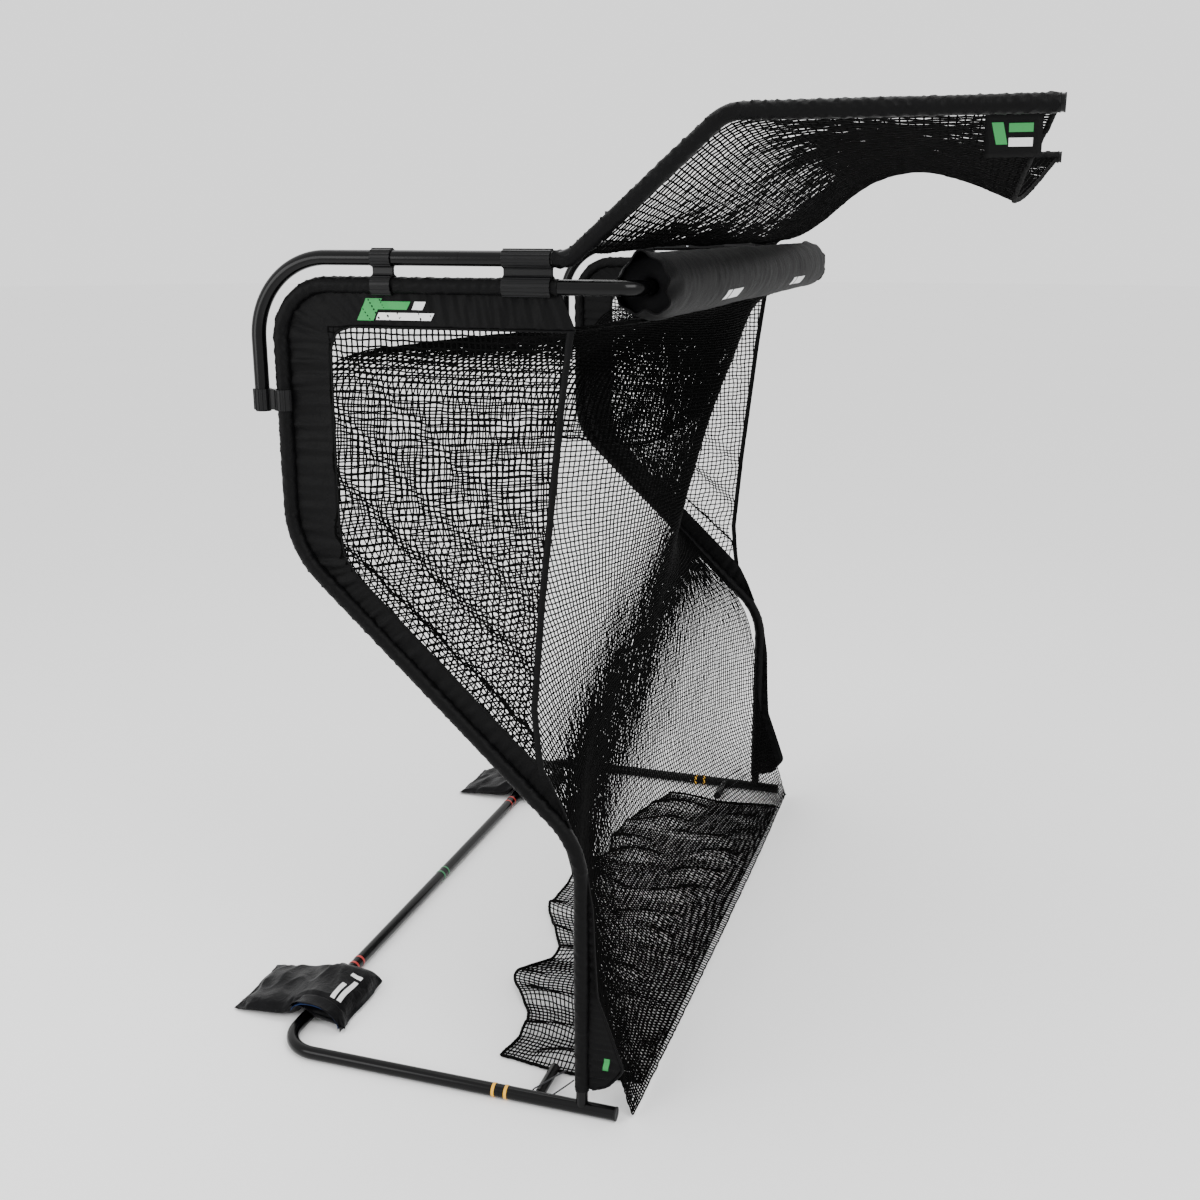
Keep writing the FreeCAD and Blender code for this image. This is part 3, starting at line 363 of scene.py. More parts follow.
def rounded_line(corners, radii, x, step):
    """Straight runs in the plane of a side frame, joined by arcs. A corner is (depth, height)."""
    corners = [np.array(c, float) for c in corners]
    points = [corners[0]]
    for i in range(1, len(corners) - 1):
        a, b = unit(corners[i - 1] - corners[i]), unit(corners[i + 1] - corners[i])
        half = math.acos(float(np.clip(a @ b, -1, 1))) / 2
        middle = corners[i] + unit(a + b) * radii[i] / math.sin(half)
        first = corners[i] + a * radii[i] / math.tan(half) - middle
        last = corners[i] + b * radii[i] / math.tan(half) - middle
        start = math.atan2(first[1], first[0])
        turn = (math.atan2(last[1], last[0]) - start + math.pi) % (2 * math.pi) - math.pi
        for t in np.linspace(0, 1, 24):
            angle = start + turn * t
            points.append(middle + radii[i] * np.array([math.cos(angle), math.sin(angle)]))
    points.append(corners[-1])
    flat = np.array(points)
    return even_line(np.column_stack([np.full(len(flat), x), flat]), step)


def swell(points, size, rng, count=9):
    """A smooth random value from about -1 to 1 at each point, its bumps about size across."""
    total = np.zeros(points.shape[:-1])
    for _ in range(count):
        direction = unit(rng.normal(size=points.shape[-1]))
        turns = 2 * math.pi / size * rng.uniform(0.5, 1.1)
        total += np.sin(points @ direction * turns + rng.uniform(0, 2 * math.pi))
    return total / math.sqrt(count) * 0.8


def show(name, points, faces, uv=None):
    """A new smooth mesh object at the origin."""
    mesh = bpy.data.meshes.new(name)
    mesh.from_pydata(points, [], faces)
    mesh.polygons.foreach_set("use_smooth", [True] * len(mesh.polygons))
    if uv is not None:
        layer = mesh.uv_layers.new(name="cloth")
        layer.data.foreach_set("uv", np.asarray(uv, float).ravel())
    mesh.update()
    obj = bpy.data.objects.new(name, mesh)
    bpy.context.scene.collection.objects.link(obj)
    return obj


def dress(obj, finish, body="frame"):
    """Gives a piece its material and slot, and lets it ride on its body."""
    obj.data.materials.clear()
    obj.data.materials.append(finish_of(finish))
    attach(obj, body)
    return obj


def cords(name, lines, normals, radius, sides=3):
    """Round cords along lines of points, as one mesh with closed ends."""
    points, faces, base = [], [], 0
    angles = np.arange(sides) * 2 * math.pi / sides
    for line, normal in zip(lines, normals):
        along = unit(np.gradient(line, axis=0))
        across = unit(np.cross(along, normal))
        level = np.cross(across, along)
        ring = (np.cos(angles)[None, :, None] * level[:, None, :]
                + np.sin(angles)[None, :, None] * across[:, None, :] * -1)
        points.append((line[:, None, :] + radius * ring).reshape(-1, 3))
        at = base + np.arange(len(line) * sides).reshape(len(line), sides)
        nearer = np.roll(at, -1, axis=1)
        sides_of_cord = np.stack([at[:-1], nearer[:-1], nearer[1:], at[1:]], axis=-1)
        faces += sides_of_cord.reshape(-1, 4).tolist()
        faces.append(at[0, ::-1].tolist())
        faces.append(at[-1].tolist())
        base += at.size
    return show(name, np.concatenate(points), faces)


def cloth(name, grid, closed=False):
    """A skin over a grid of points, with its UV map in metres along and across the cloth."""
    rows, columns = grid.shape[:2]
    index = np.arange(rows * columns).reshape(rows, columns)
    wide = grid
    if closed:
        index = np.concatenate([index, index[:, :1]], axis=1)
        wide = np.concatenate([grid, grid[:, :1]], axis=1)
    faces = np.stack([index[:-1, :-1], index[:-1, 1:], index[1:, 1:], index[1:, :-1]], axis=-1)
    middle_row, middle_column = wide[rows // 2], wide[:, wide.shape[1] // 2]
    across = np.broadcast_to(running_length(middle_row)[None, :], wide.shape[:2])
    along = np.broadcast_to(running_length(middle_column)[:, None], wide.shape[:2])
    flat = np.stack([across, along], axis=-1)
    uv = np.stack([flat[:-1, :-1], flat[:-1, 1:], flat[1:, 1:], flat[1:, :-1]], axis=2)
    return show(name, grid.reshape(-1, 3), faces.reshape(-1, 4).tolist(), uv)


def apply_modifier(obj, kind, **settings):
    """Adds a modifier and applies it."""
    bpy.ops.object.select_all(action="DESELECT")
    bpy.context.view_layer.objects.active = obj
    obj.select_set(True)
    modifier = obj.modifiers.new(kind.lower(), kind)
    for key, value in settings.items():
        setattr(modifier, key, value)
    bpy.ops.object.modifier_apply(modifier=modifier.name)
    obj.select_set(False)


def thicken(obj, thickness, offset=0.0):
    """Gives a skin a wall."""
    apply_modifier(obj, "SOLIDIFY", thickness=thickness, offset=offset)
    return obj


def join(pieces, name):
    """Several mesh objects made one."""
    bpy.ops.object.select_all(action="DESELECT")
    for piece in pieces:
        piece.select_set(True)
    bpy.context.view_layer.objects.active = pieces[0]
    bpy.ops.object.join()
    pieces[0].name = name
    pieces[0].data.name = name
    pieces[0].select_set(False)
    return pieces[0]


SWELL_FRAMES = 20
REMESH_SIZE = 0.005


def inflate(obj, most):
    """Lets a closed fabric piece swell under pressure, no point by more than most, its base kept."""
    bpy.ops.object.select_all(action="DESELECT")
    bpy.context.view_layer.objects.active = obj
    obj.select_set(True)
    obj.data.remesh_voxel_size = REMESH_SIZE
    bpy.ops.object.voxel_remesh()
    before = np.array([v.co[:] for v in obj.data.vertices])
    free = np.clip(np.array([v.normal.z for v in obj.data.vertices]) * 2 + 0.4, 0, 1)
    modifier = obj.modifiers.new("swell", "CLOTH")
    modifier.settings.use_pressure = True
    modifier.settings.uniform_pressure_force = 4
    modifier.settings.effector_weights.gravity = 0
    for step in range(1, SWELL_FRAMES + 1):
        bpy.context.scene.frame_set(step)
    posed = obj.evaluated_get(bpy.context.evaluated_depsgraph_get())
    move = np.array([v.co[:] for v in posed.data.vertices]) - before
    bpy.context.scene.frame_set(1)
    obj.modifiers.remove(modifier)
    length = np.linalg.norm(move, axis=1, keepdims=True)
    move *= np.minimum(1, most / np.maximum(length, 1e-9)) * free[:, None]
    obj.data.vertices.foreach_set("co", (before + move).ravel())
    apply_modifier(obj, "SUBSURF", levels=1, render_levels=1)
    bpy.ops.object.select_all(action="DESELECT")
    obj.select_set(True)
    bpy.ops.object.shade_smooth()
    obj.select_set(False)


def tube_rings(line, radii, level=PLAYERS_RIGHT):
    """Points of rings round a line. radii has a row for each point and a column for each angle."""
    along = unit(np.gradient(line, axis=0))
    level = unit(level - along * (along @ level)[:, None])
    other = np.cross(along, level)
    angles = np.arange(radii.shape[1]) * 2 * math.pi / radii.shape[1]
    ring = (np.cos(angles)[None, :, None] * level[:, None, :]
            + np.sin(angles)[None, :, None] * other[:, None, :])
    return line[:, None, :] + radii[:, :, None] * ring


def creases(line, around, rng, size, amount, bends=(), bend_extra=1.0):
    """Depth of the creases in a fabric tube: sharper and deeper near the bends."""
    at = running_length(line)[:, None]
    angles = (np.arange(around) * 2 * math.pi / around)[None, :]
    total = np.zeros((len(line), around))
    for _ in range(10):
        turns = 2 * math.pi / (size * rng.uniform(0.5, 2.2))
        lobes = int(rng.integers(-3, 4))
        wave = np.sin(at * turns + lobes * angles + rng.uniform(0, 6.28))
        fade = 0.5 + 0.5 * np.sin(at * 2 * math.pi / rng.uniform(0.2, 0.7) + rng.uniform(0, 6.28))
        total += (1 - 2 * np.abs(wave) ** 0.75) * fade
    gain = np.ones_like(at)
    for depth, height, reach in bends:
        away = np.hypot(line[:, 1] - depth, line[:, 2] - height)[:, None]
        gain = gain + bend_extra * np.exp(-((away / reach) ** 2))
    return total / 4.0 * amount * gain


# ---------------------------------------------------------------- nets
def spline_basis(count, t):
    """Weights of a quadratic spline's control points at each value of t, from 0 to count - 2."""
    knots = np.concatenate([[0, 0], np.arange(count - 1), [count - 2] * 2]).astype(float)
    t = np.clip(t, 0, count - 2 - 1e-9)
    weights = ((t[:, None] >= knots[None, :-1]) & (t[:, None] < knots[None, 1:])).astype(float)
    for degree in (1, 2):
        rising = knots[degree:-1] - knots[:-1 - degree]
        falling = knots[degree + 1:] - knots[1:-degree]
        up = np.where(rising > 0, (t[:, None] - knots[None, :-1 - degree])
                      / np.where(rising > 0, rising, 1), 0)
        down = np.where(falling > 0, (knots[None, degree + 1:] - t[:, None])
                        / np.where(falling > 0, falling, 1), 0)
        weights = up * weights[:, :-1] + down * weights[:, 1:]
    return weights


NET_CONTROLS = 17  # control points across a net


def hung_net(rows, roundness, pitch, half=1.175, shift=0.0, swag=0.0):
    """Crossings of a net that hangs through rows of (side depth, side height, mid depth, mid height).

    roundness makes a row a fold in the middle, near 0, or an even curve, from 2 up. swag lowers
    the two quarters of the lower rows, and shift moves the net away from the player.
    """
    u = np.linspace(-1, 1, NET_CONTROLS)
    control = []
    for i, (side_y, side_z, mid_y, mid_z) in enumerate(rows):
        c = roundness[i]
        rise = (np.hypot(u, c) - c) / (math.hypot(1, c) - c)
        droop = swag * (i / (len(rows) - 1)) ** 2 * np.sin(math.pi * np.abs(u)) ** 2
        depth = mid_y + (side_y - mid_y) * rise + shift
        control.append(np.column_stack([half * u, depth, mid_z + (side_z - mid_z) * rise - droop]))
    control = np.array(control)

    def surface(t, s):
        down, across = spline_basis(control.shape[0], t), spline_basis(control.shape[1], s)
        return np.einsum("ij,jkc,lk->ilc", down, control, across)

    t, s = np.linspace(0, control.shape[0] - 2, 300), np.linspace(0, control.shape[1] - 2, 200)
    dense = surface(t, s)
    down = np.linalg.norm(np.diff(dense, axis=0), axis=2).mean(axis=1)
    across = np.linalg.norm(np.diff(dense, axis=1), axis=2).mean(axis=0)
    even = []
    for lengths, values in ((down, t), (across, s)):
        total = np.concatenate([[0], np.cumsum(lengths)])
        count = int(round(total[-1] / pitch)) + 1
        even.append(np.interp(np.linspace(0, total[-1], count), total, values))
    return surface(*even)


def normals_of(grid):
    """The direction that a net faces at each crossing."""
    return unit(np.cross(np.gradient(grid, axis=0), np.gradient(grid, axis=1)))


def shake(grid, rng, slack, waves=()):
    """Moves the crossings a little, and the net in waves of (size, height) along its normal."""
    normals = normals_of(grid)
    moved = grid + rng.normal(size=grid.shape) * slack * 0.5
    edge = np.minimum(np.arange(grid.shape[1]), np.arange(grid.shape[1])[::-1]) / 6.0
    calm = np.clip(edge, 0, 1)[None, :]
    for size, height in waves:
        moved += normals * (swell(grid, size, rng) * height * calm)[..., None]
    return moved


def net_of(name, grid, radius):
    """The cords of a net, down and across, from its grid of crossings."""
    normals = normals_of(grid)
    lift = normals * radius * 0.45
    lines = list(grid + lift) + list(np.swapaxes(grid - lift, 0, 1))
    facing = list(normals) + list(np.swapaxes(normals, 0, 1))
    return cords(name, lines, facing, radius)


def hem(name, line, radius, rng, around=8):
    """A soft cord or rolled hem along an edge."""
    line = even_line(line, 0.008)
    radii = np.full((len(line), around), radius)
    radii *= 1 + 0.12 * np.sin(running_length(line)[:, None] * 390 + rng.uniform(0, 6))
    reference = UP if abs(unit(line[-1] - line[0])[2]) < 0.7 else PLAYERS_RIGHT
    return cloth(name, tube_rings(line, radii, reference), closed=True)


MAIN_ROWS = [
    (-0.136, 2.189, -0.150, 2.189), (0.330, 2.140, -0.130, 2.075), (0.737, 2.080, -0.092, 1.945),
    (0.757, 1.840, -0.042, 1.780), (0.752, 1.600, 0.018, 1.590), (0.540, 1.345, 0.085, 1.375),
    (0.285, 1.105, 0.152, 1.165), (0.070, 0.870, 0.222, 0.930), (0.008, 0.640, 0.262, 0.700),
    (-0.004, 0.420, 0.280, 0.480), (-0.060, 0.255, 0.226, 0.285), (-0.108, 0.115, 0.095, 0.120),
    (-0.132, 0.030, -0.080, 0.032), (-0.142, 0.010, -0.150, 0.010),
]
MAIN_ROUNDNESS = [0.3, 0.3, 0.25, 0.25, 0.3, 0.4, 0.6, 1, 2, 2, 2, 2, 2, 2]
UPPER_ROWS = [
    (-0.112, 2.176, -0.140, 2.182), (0.055, 2.093, -0.130, 2.075),
    (0.247, 1.993, -0.092, 1.945), (0.279, 1.812, -0.052, 1.820),
]
ROOF_ROWS = [
    (-0.010, 2.350, -0.120, 2.364), (-0.088, 2.416, -0.190, 2.362), (-0.178, 2.496, -0.262, 2.368),
    (-0.268, 2.575, -0.345, 2.425), (-0.365, 2.640, -0.425, 2.492), (-0.470, 2.648, -0.505, 2.552),
    (-0.640, 2.648, -0.625, 2.578), (-0.850, 2.648, -0.800, 2.548), (-1.050, 2.648, -0.950, 2.480),
]
TAIL_REAR = [
    (-1.030, 0.320), (-0.915, 0.296), (-0.794, 0.315), (-0.602, 0.437), (-0.510, 0.441),
    (-0.450, 0.362), (-0.382, 0.346), (-0.186, 0.449), (-0.114, 0.500), (0.119, 0.490),
    (0.309, 0.484), (0.369, 0.412), (0.532, 0.456), (0.784, 0.421), (1.030, 0.342),
]


FLOOR_GAP = 0.004  # of a cord's middle over the floor


class PRACTICENET_OT_main_net(bpy.types.Operator):
    """Builds the net that stops the ball, in an upper and a lower panel"""

    bl_idname = "practice_net.main_net"
    bl_label = "Main net"

    def execute(self, context):
        sizes = context.scene.net_sizes
        rng = np.random.default_rng(11)
        grid = hung_net(MAIN_ROWS, MAIN_ROUNDNESS, sizes.mesh_size)
        grid = shake(grid, rng, sizes.slack, ((0.6, 0.007), (0.2, 0.0015)))
        grid[:, :, 2] = np.maximum(grid[:, :, 2], FLOOR_GAP)
        cut = grid.shape[0] // 2
        radius = sizes.cord_size / 2
        for name, panel in (("main_net_upper", grid[:cut + 1]), ("main_net_lower", grid[cut:])):
            net = net_of(name, panel, radius)
            dress(net, "net_cord")
            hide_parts("main_net")
        return {"FINISHED"}


class PRACTICENET_OT_upper_layer(bpy.types.Operator):
    """Builds the second layer behind the top of the main net, with its swagged hem"""

    bl_idname = "practice_net.upper_layer"
    bl_label = "Upper net layer"

    def execute(self, context):
        sizes = context.scene.net_sizes
        rng = np.random.default_rng(12)
        grid = hung_net(UPPER_ROWS, [0.58, 0.58, 0.48, 0.48], sizes.mesh_size, half=0.611,
                        shift=0.038, swag=0.06)
        grid = shake(grid, rng, sizes.slack, ((0.4, 0.006), (0.12, 0.002)))
        net = dress(net_of("upper_net", grid, sizes.cord_size / 2), "net_cord")
        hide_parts("upper_net_layer")
        edge = hem("upper_net_hem", grid[-1], 0.0035, rng)
        dress(edge, "hem_tape")
        return {"FINISHED"}


WINDOW_TOP = 2.166  # height of the upper edge of a side border's window


def side_lines(sizes, rng, x):
    """Cords of a side net, cut to its window, and how the loose net gathers above the slope."""
    front = np.array([(0.030, WINDOW_TOP), (0.080, 1.760), (0.136, 1.190), (0.117, 1.030)])
    slope = 0.765 / 0.810  # of the window's lower edge
    low = 0.920  # height of that edge where the depth is 0
    rear, top = 0.674, WINDOW_TOP
    spacing = sizes.mesh_size

    def front_at(z):
        return np.interp(z, front[::-1, 1], front[::-1, 0])

    def settle(points):
        y, z = points[:, 1], points[:, 2]
        off = (z - low - slope * y) / math.hypot(1, slope)
        span = np.clip((y - 0.03) / 0.64, 0, 1)
        hang = np.sin(math.pi * span) * np.clip(off / 0.25, 0, 1) * np.clip((top - z) / 0.3, 0, 1)
        tight = np.exp(-np.clip(off, 0, None) / 0.22) * np.clip(off / 0.03, 0, 1)
        gather = 0.024 * np.sin(off * 2 * math.pi / 0.13 + 2.2 * y) * tight
        moved = points.copy()
        moved[:, 1] += slope * -gather / math.hypot(1, slope)
        moved[:, 2] += gather / math.hypot(1, slope) - 0.022 * hang
        bulge = 0.035 * np.sin(math.pi * span) * np.sin(math.pi * np.clip((z - 1.0) / 1.16, 0, 1))
        inside = np.clip(np.minimum.reduce([y - front_at(z), rear - y, top - z, off]) / 0.05, 0, 1)
        ripple = swell(points * [1, 1, 0.35], 0.09, np.random.default_rng(5)) * 0.006
        moved[:, 0] += (bulge * 0.5 + ripple) * inside * -np.sign(x)
        wander = swell(points, 0.05, np.random.default_rng(6)) * 0.0022
        moved[:, 1] += wander * inside
        moved[:, 2] += swell(points, 0.05, np.random.default_rng(8)) * 0.0022 * inside
        return moved + rng.normal(size=points.shape) * [0.3, 1, 1] * sizes.slack * 0.45

    heights = np.linspace(1.0, top, 300)
    lines = []
    for y in np.arange(0.032, rear, spacing):
        blocked = heights[front_at(heights) > y]
        bottom = max([low + slope * y, *blocked[-1:]])
        if top - bottom < spacing * 2:
            continue
        z = np.append(np.arange(bottom, top, spacing), top)
        lines.append(settle(np.column_stack([np.full(len(z), x), np.full(len(z), y), z])))
    for z in np.arange(1.045, top, spacing):
        start, end = front_at(z), min(rear, (z - low) / slope)
        if end - start < spacing * 2:
            continue
        y = np.append(np.arange(start, end, spacing), end)
        lines.append(settle(np.column_stack([np.full(len(y), x), y, np.full(len(y), z)])))
    return lines


class PRACTICENET_OT_side_nets(bpy.types.Operator):
    """Builds the two side nets and the bindings on their free front edges"""

    bl_idname = "practice_net.side_nets"
    bl_label = "Side nets"

    def execute(self, context):
        sizes = context.scene.net_sizes
        for side, s in SIDES:
            rng = np.random.default_rng(21 + s)
            lines = side_lines(sizes, rng, TUBE_X * s)
            facing = [np.tile([float(s), 0, 0], (len(line), 1)) for line in lines]
            net = cords(f"side_net_panel_{side}", lines, facing, sizes.cord_size / 2, 5)
            dress(net, "net_cord")
            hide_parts(f"side_net_{side}")
            self.binding(side, s, rng)
        return {"FINISHED"}

    def binding(self, side, s, rng):
        front = np.array([(0.012, WINDOW_TOP), (0.040, 1.960), (0.062, 1.760), (0.093, 1.480),
                          (0.118, 1.190), (0.110, 1.090), (0.099, 1.006)])
        line = even_line(np.column_stack([np.full(len(front), TUBE_X * s), front]), 0.006)
        width = 0.018
        across = np.linspace(0, width, 7)
        grid = np.repeat(line[:, None, :], len(across), axis=1)
        grid[:, :, 1] += across[None, :]
        grid[:, :, 0] += 0.002 * np.sin(across / width * math.pi)[None, :] * s
        grid[:, :, 0] += swell(grid, 0.03, rng) * 0.0012
        strip = thicken(cloth(f"seam_binding_{side}", grid), 0.0045)
        apply_modifier(strip, "BEVEL", width=0.0012, segments=2, limit_method="ANGLE")
        dress(strip, "sleeve_nylon")
        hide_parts(f"side_net_binding_{side}")


class PRACTICENET_OT_roof_net(bpy.types.Operator):
    """Builds the overhead net with its front and rear hems"""

    bl_idname = "practice_net.roof_net"
    bl_label = "Overhead net"

    def execute(self, context):
        sizes = context.scene.net_sizes
        rng = np.random.default_rng(31)
        grid = hung_net(ROOF_ROWS, [2.0] * len(ROOF_ROWS), sizes.mesh_size, half=1.181)
        grid = shake(grid, rng, sizes.slack, ((0.5, 0.006), (0.2, 0.0012)))
        net = dress(net_of("overhead_net", grid, sizes.cord_size / 2), "net_cord")
        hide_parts("roof_net")
        hems = [hem("overhead_net_front_hem", grid[-1], 0.0065, rng),
                hem("overhead_net_rear_hem", grid[0], 0.0055, rng)]
        for edge in hems:
            dress(edge, "hem_tape")
        return {"FINISHED"}


class PRACTICENET_OT_tail(bpy.types.Operator):
    """Builds the loose tail of the net that lies on the floor, with its wavy rear hem"""

    bl_idname = "practice_net.tail"
    bl_label = "Floor tail"

    def execute(self, context):
        sizes = context.scene.net_sizes
        rng = np.random.default_rng(41)
        rear = np.array(TAIL_REAR)
        half, front, deepest = 1.03, -0.125, 0.57
        columns = int(2 * half / sizes.mesh_size) + 1
        rows = int(deepest / sizes.mesh_size) + 1
        x = np.linspace(-half, half, columns)
        back = np.interp(x, rear[:, 0], rear[:, 1])
        back = np.convolve(np.pad(back, 2, mode="edge"), np.ones(5) / 5, mode="valid")
        t = np.linspace(0, 1, rows)[:, None]
        y = front + (back[None, :] - front) * t
        grid = np.stack([np.broadcast_to(x[None, :], y.shape), y, np.zeros_like(y)], axis=-1)
        grid[:, :, 0] += 0.012 * np.sin(y * 14 + x[None, :] * 3)
        lift = np.clip(swell(grid * [1, 0.6, 1], 0.13, rng), 0, None) * 0.022
        grid[:, :, 2] = 0.0048 + lift * np.clip(t * 3, 0, 1)
        grid += rng.normal(size=grid.shape) * sizes.slack * [0.5, 0.5, 0.1]
        net = dress(net_of("floor_tail", grid, sizes.cord_size / 2), "net_cord")
        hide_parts("tail_net")
        edges = [hem("floor_tail_rear_hem", grid[-1], 0.005, rng),
                 hem("floor_tail_left_hem", grid[:, 0], 0.005, rng),
                 hem("floor_tail_right_hem", grid[:, -1], 0.005, rng)]
        for edge in edges:
            sunk = 0.0005 - min(vertex.co.z for vertex in edge.data.vertices)
            for vertex in edge.data.vertices:
                vertex.co.z += max(0.0, sunk)
            dress(edge, "hem_tape")
        return {"FINISHED"}


# ---------------------------------------------------------------- borders and sleeves
FRAME_RUN = [(0, 0.080), (0, 0.815), (0.810, 1.580), (0.810, 2.267), (0.050, 2.267)]
FRAME_BENDS = [0, 0.25, 0.25, 0.14, 0]
FRAME_CREASES = [(0.06, 0.86, 0.16), (0.79, 1.56, 0.16), (0.79, 2.24, 0.10), (0, 0.10, 0.08)]
BORDER_STATIONS = [
    (0.030, 0.858, 0.030, 0.868), (0.075, 0.890, 0.060, 0.940), (0.150, 0.957, 0.098, 1.013),
    (0.300, 1.098, 0.245, 1.152), (0.450, 1.240, 0.392, 1.291), (0.600, 1.382, 0.530, 1.421),
    (0.700, 1.470, 0.620, 1.506), (0.770, 1.550, 0.658, 1.560), (0.805, 1.650, 0.670, 1.640),
    (0.810, 1.800, 0.670, 1.800), (0.810, 2.000, 0.670, 2.000), (0.810, 2.110, 0.668, 2.110),
    (0.790, 2.215, 0.650, 2.150), (0.720, 2.262, 0.610, 2.163), (0.550, 2.267, 0.500, 2.163),
    (0.350, 2.267, 0.330, 2.163), (0.150, 2.267, 0.140, 2.163), (0.050, 2.267, 0.008, 2.163),
]
GUSSET_STATIONS = [
    (0.020, 0.082, -0.030, 0.082), (0.010, 0.095, -0.076, 0.100), (0, 0.160, -0.122, 0.160),
    (0, 0.260, -0.086, 0.262), (0, 0.370, -0.046, 0.370), (0, 0.500, -0.038, 0.500),
    (0, 0.640, -0.032, 0.640), (0, 0.740, -0.016, 0.740), (0.004, 0.800, -0.002, 0.800),
]


CLOTH_STEP = 0.006  # between the rows of a border's cloth


def panel_between(stations, x, step, across):
    """A grid between matching points of two edges, given as (depth, height, depth, height)."""
    stations = np.array(stations, float)
    at = running_length(stations[:, :2] * 0.5 + stations[:, 2:] * 0.5)
    places = np.linspace(0, at[-1], int(at[-1] / step) + 1)
    edges = np.stack([np.interp(places, at, stations[:, i]) for i in range(4)], axis=1)
    for _ in range(4):
        edges[1:-1] = (edges[:-2] + 2 * edges[1:-1] + edges[2:]) / 4
    t = np.linspace(0, 1, across)[None, :, None]
    flat = edges[:, None, :2] * (1 - t) + edges[:, None, 2:] * t
    return np.concatenate([np.full((*flat.shape[:2], 1), x), flat], axis=2)


class PRACTICENET_OT_borders(bpy.types.Operator):
    """Builds the nylon sleeves, flat borders and foot gussets of the two side frames"""

    bl_idname = "practice_net.borders"
    bl_label = "Side borders"

    def execute(self, context):
        crease = context.scene.fabric_look.crease
        for side, s in SIDES:
            rng = np.random.default_rng(51 + s)
            line = rounded_line(FRAME_RUN, FRAME_BENDS, TUBE_X * s, CLOTH_STEP)
            depth = creases(line, 28, rng, 0.05, crease, FRAME_CREASES, 0.8)
            radii = 0.0222 + np.clip(depth, -0.0022, 0.0045)
            sleeve = thicken(cloth("sleeve", tube_rings(line, radii), closed=True), 0.0012, -1)
            panels = [self.panel(BORDER_STATIONS, s, rng, 14), self.panel(GUSSET_STATIONS, s, rng, 10)]
            border = join([sleeve] + panels, f"border_{side}")
            dress(border, "sleeve_nylon")
            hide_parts(f"side_border_{side}")
            welts = [self.welt(stations, s, rng) for stations in (BORDER_STATIONS, GUSSET_STATIONS)]
            welt = join(welts, f"border_welt_{side}")
            dress(welt, "sleeve_nylon")
        return {"FINISHED"}

    def panel(self, stations, s, rng, across):
        grid = panel_between(stations, TUBE_X * s, CLOTH_STEP, across)
        t = np.linspace(0, 1, across)[None, :]
        along = np.arange(grid.shape[0])[:, None] * CLOTH_STEP
        pucker = np.zeros(grid.shape[:2])
        for _ in range(7):
            turns = 2 * math.pi / rng.uniform(0.03, 0.12)
            slant = rng.uniform(-18, 18)
            fade = 0.5 + 0.5 * np.sin(along * 2 * math.pi / rng.uniform(0.3, 0.9) + rng.uniform(0, 6))
            pucker += (1 - 2 * np.abs(np.sin(along * turns + slant * t * 0.1
                                             + rng.uniform(0, 6))) ** 0.8) * fade
        grid[:, :, 0] += s * (pucker * 0.0016 + swell(grid, 0.16, rng) * 0.003) * np.sin(
            np.clip(t * 0.85 + 0.1, 0, 1) * math.pi) ** 0.6
        return thicken(cloth("panel", grid), 0.0018)

    def welt(self, stations, s, rng):
        edge = panel_between(stations, TUBE_X * s, CLOTH_STEP, 2)[:, 1]
        edge[:, 0] += swell(edge, 0.1, rng) * 0.001
        return hem("welt", edge, 0.0032, rng)


ROOF_RUN = [(0.061, 2.333), (0.022, 2.333), (-0.349, 2.656), (-1.058, 2.656)]
ROOF_BENDS = [0, 0.03, 0.1, 0]
ROOF_CREASES = [(0.0, 2.34, 0.12), (-0.10, 2.43, 0.10), (-0.34, 2.64, 0.10), (-1.04, 2.656, 0.06)]


class PRACTICENET_OT_roof_sleeves(bpy.types.Operator):
    """Builds the nylon sleeves on the roof tubes, bunched where they start"""

    bl_idname = "practice_net.roof_sleeves"
    bl_label = "Roof sleeves"

    def execute(self, context):
        crease = context.scene.fabric_look.crease
        for side, s in SIDES:
            rng = np.random.default_rng(61 + s)
            line = rounded_line(ROOF_RUN, ROOF_BENDS, TUBE_X * s, 0.005)
            depth = creases(line, 28, rng, 0.045, crease * 1.1, ROOF_CREASES, 1.3)
            radii = 0.0224 + np.clip(depth, -0.0024, 0.0075)
            sleeve = cloth(f"roof_cover_{side}", tube_rings(line, radii), closed=True)
            thicken(sleeve, 0.0012, -1)
            dress(sleeve, "sleeve_nylon")
            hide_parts(f"roof_sleeve_{side}")
        return {"FINISHED"}


# ---------------------------------------------------------------- crossbar pad
COVER_HALF = 1.172
COVER_RADIUS = 0.0815
FOAM_HALF_OUTLINE = [  # (radius, x) from the bore's mouth to the middle of the pad
    (0.0195, 1.098), (0.024, 1.106), (0.040, 1.1095), (0.062, 1.1095), (0.073, 1.105),
    (0.078, 1.094), (0.078, 0.8), (0.078, 0.4), (0.078, 0),
]


def cover_folds(angles, x):
    """How the cover's open end puckers round its edge, from about -1 to 1."""
    return (0.55 * np.sin(3 * angles + 1.1) + 0.4 * np.sin(5 * angles + 2.6)
            + 0.3 * np.sin(9 * angles + x * 30))


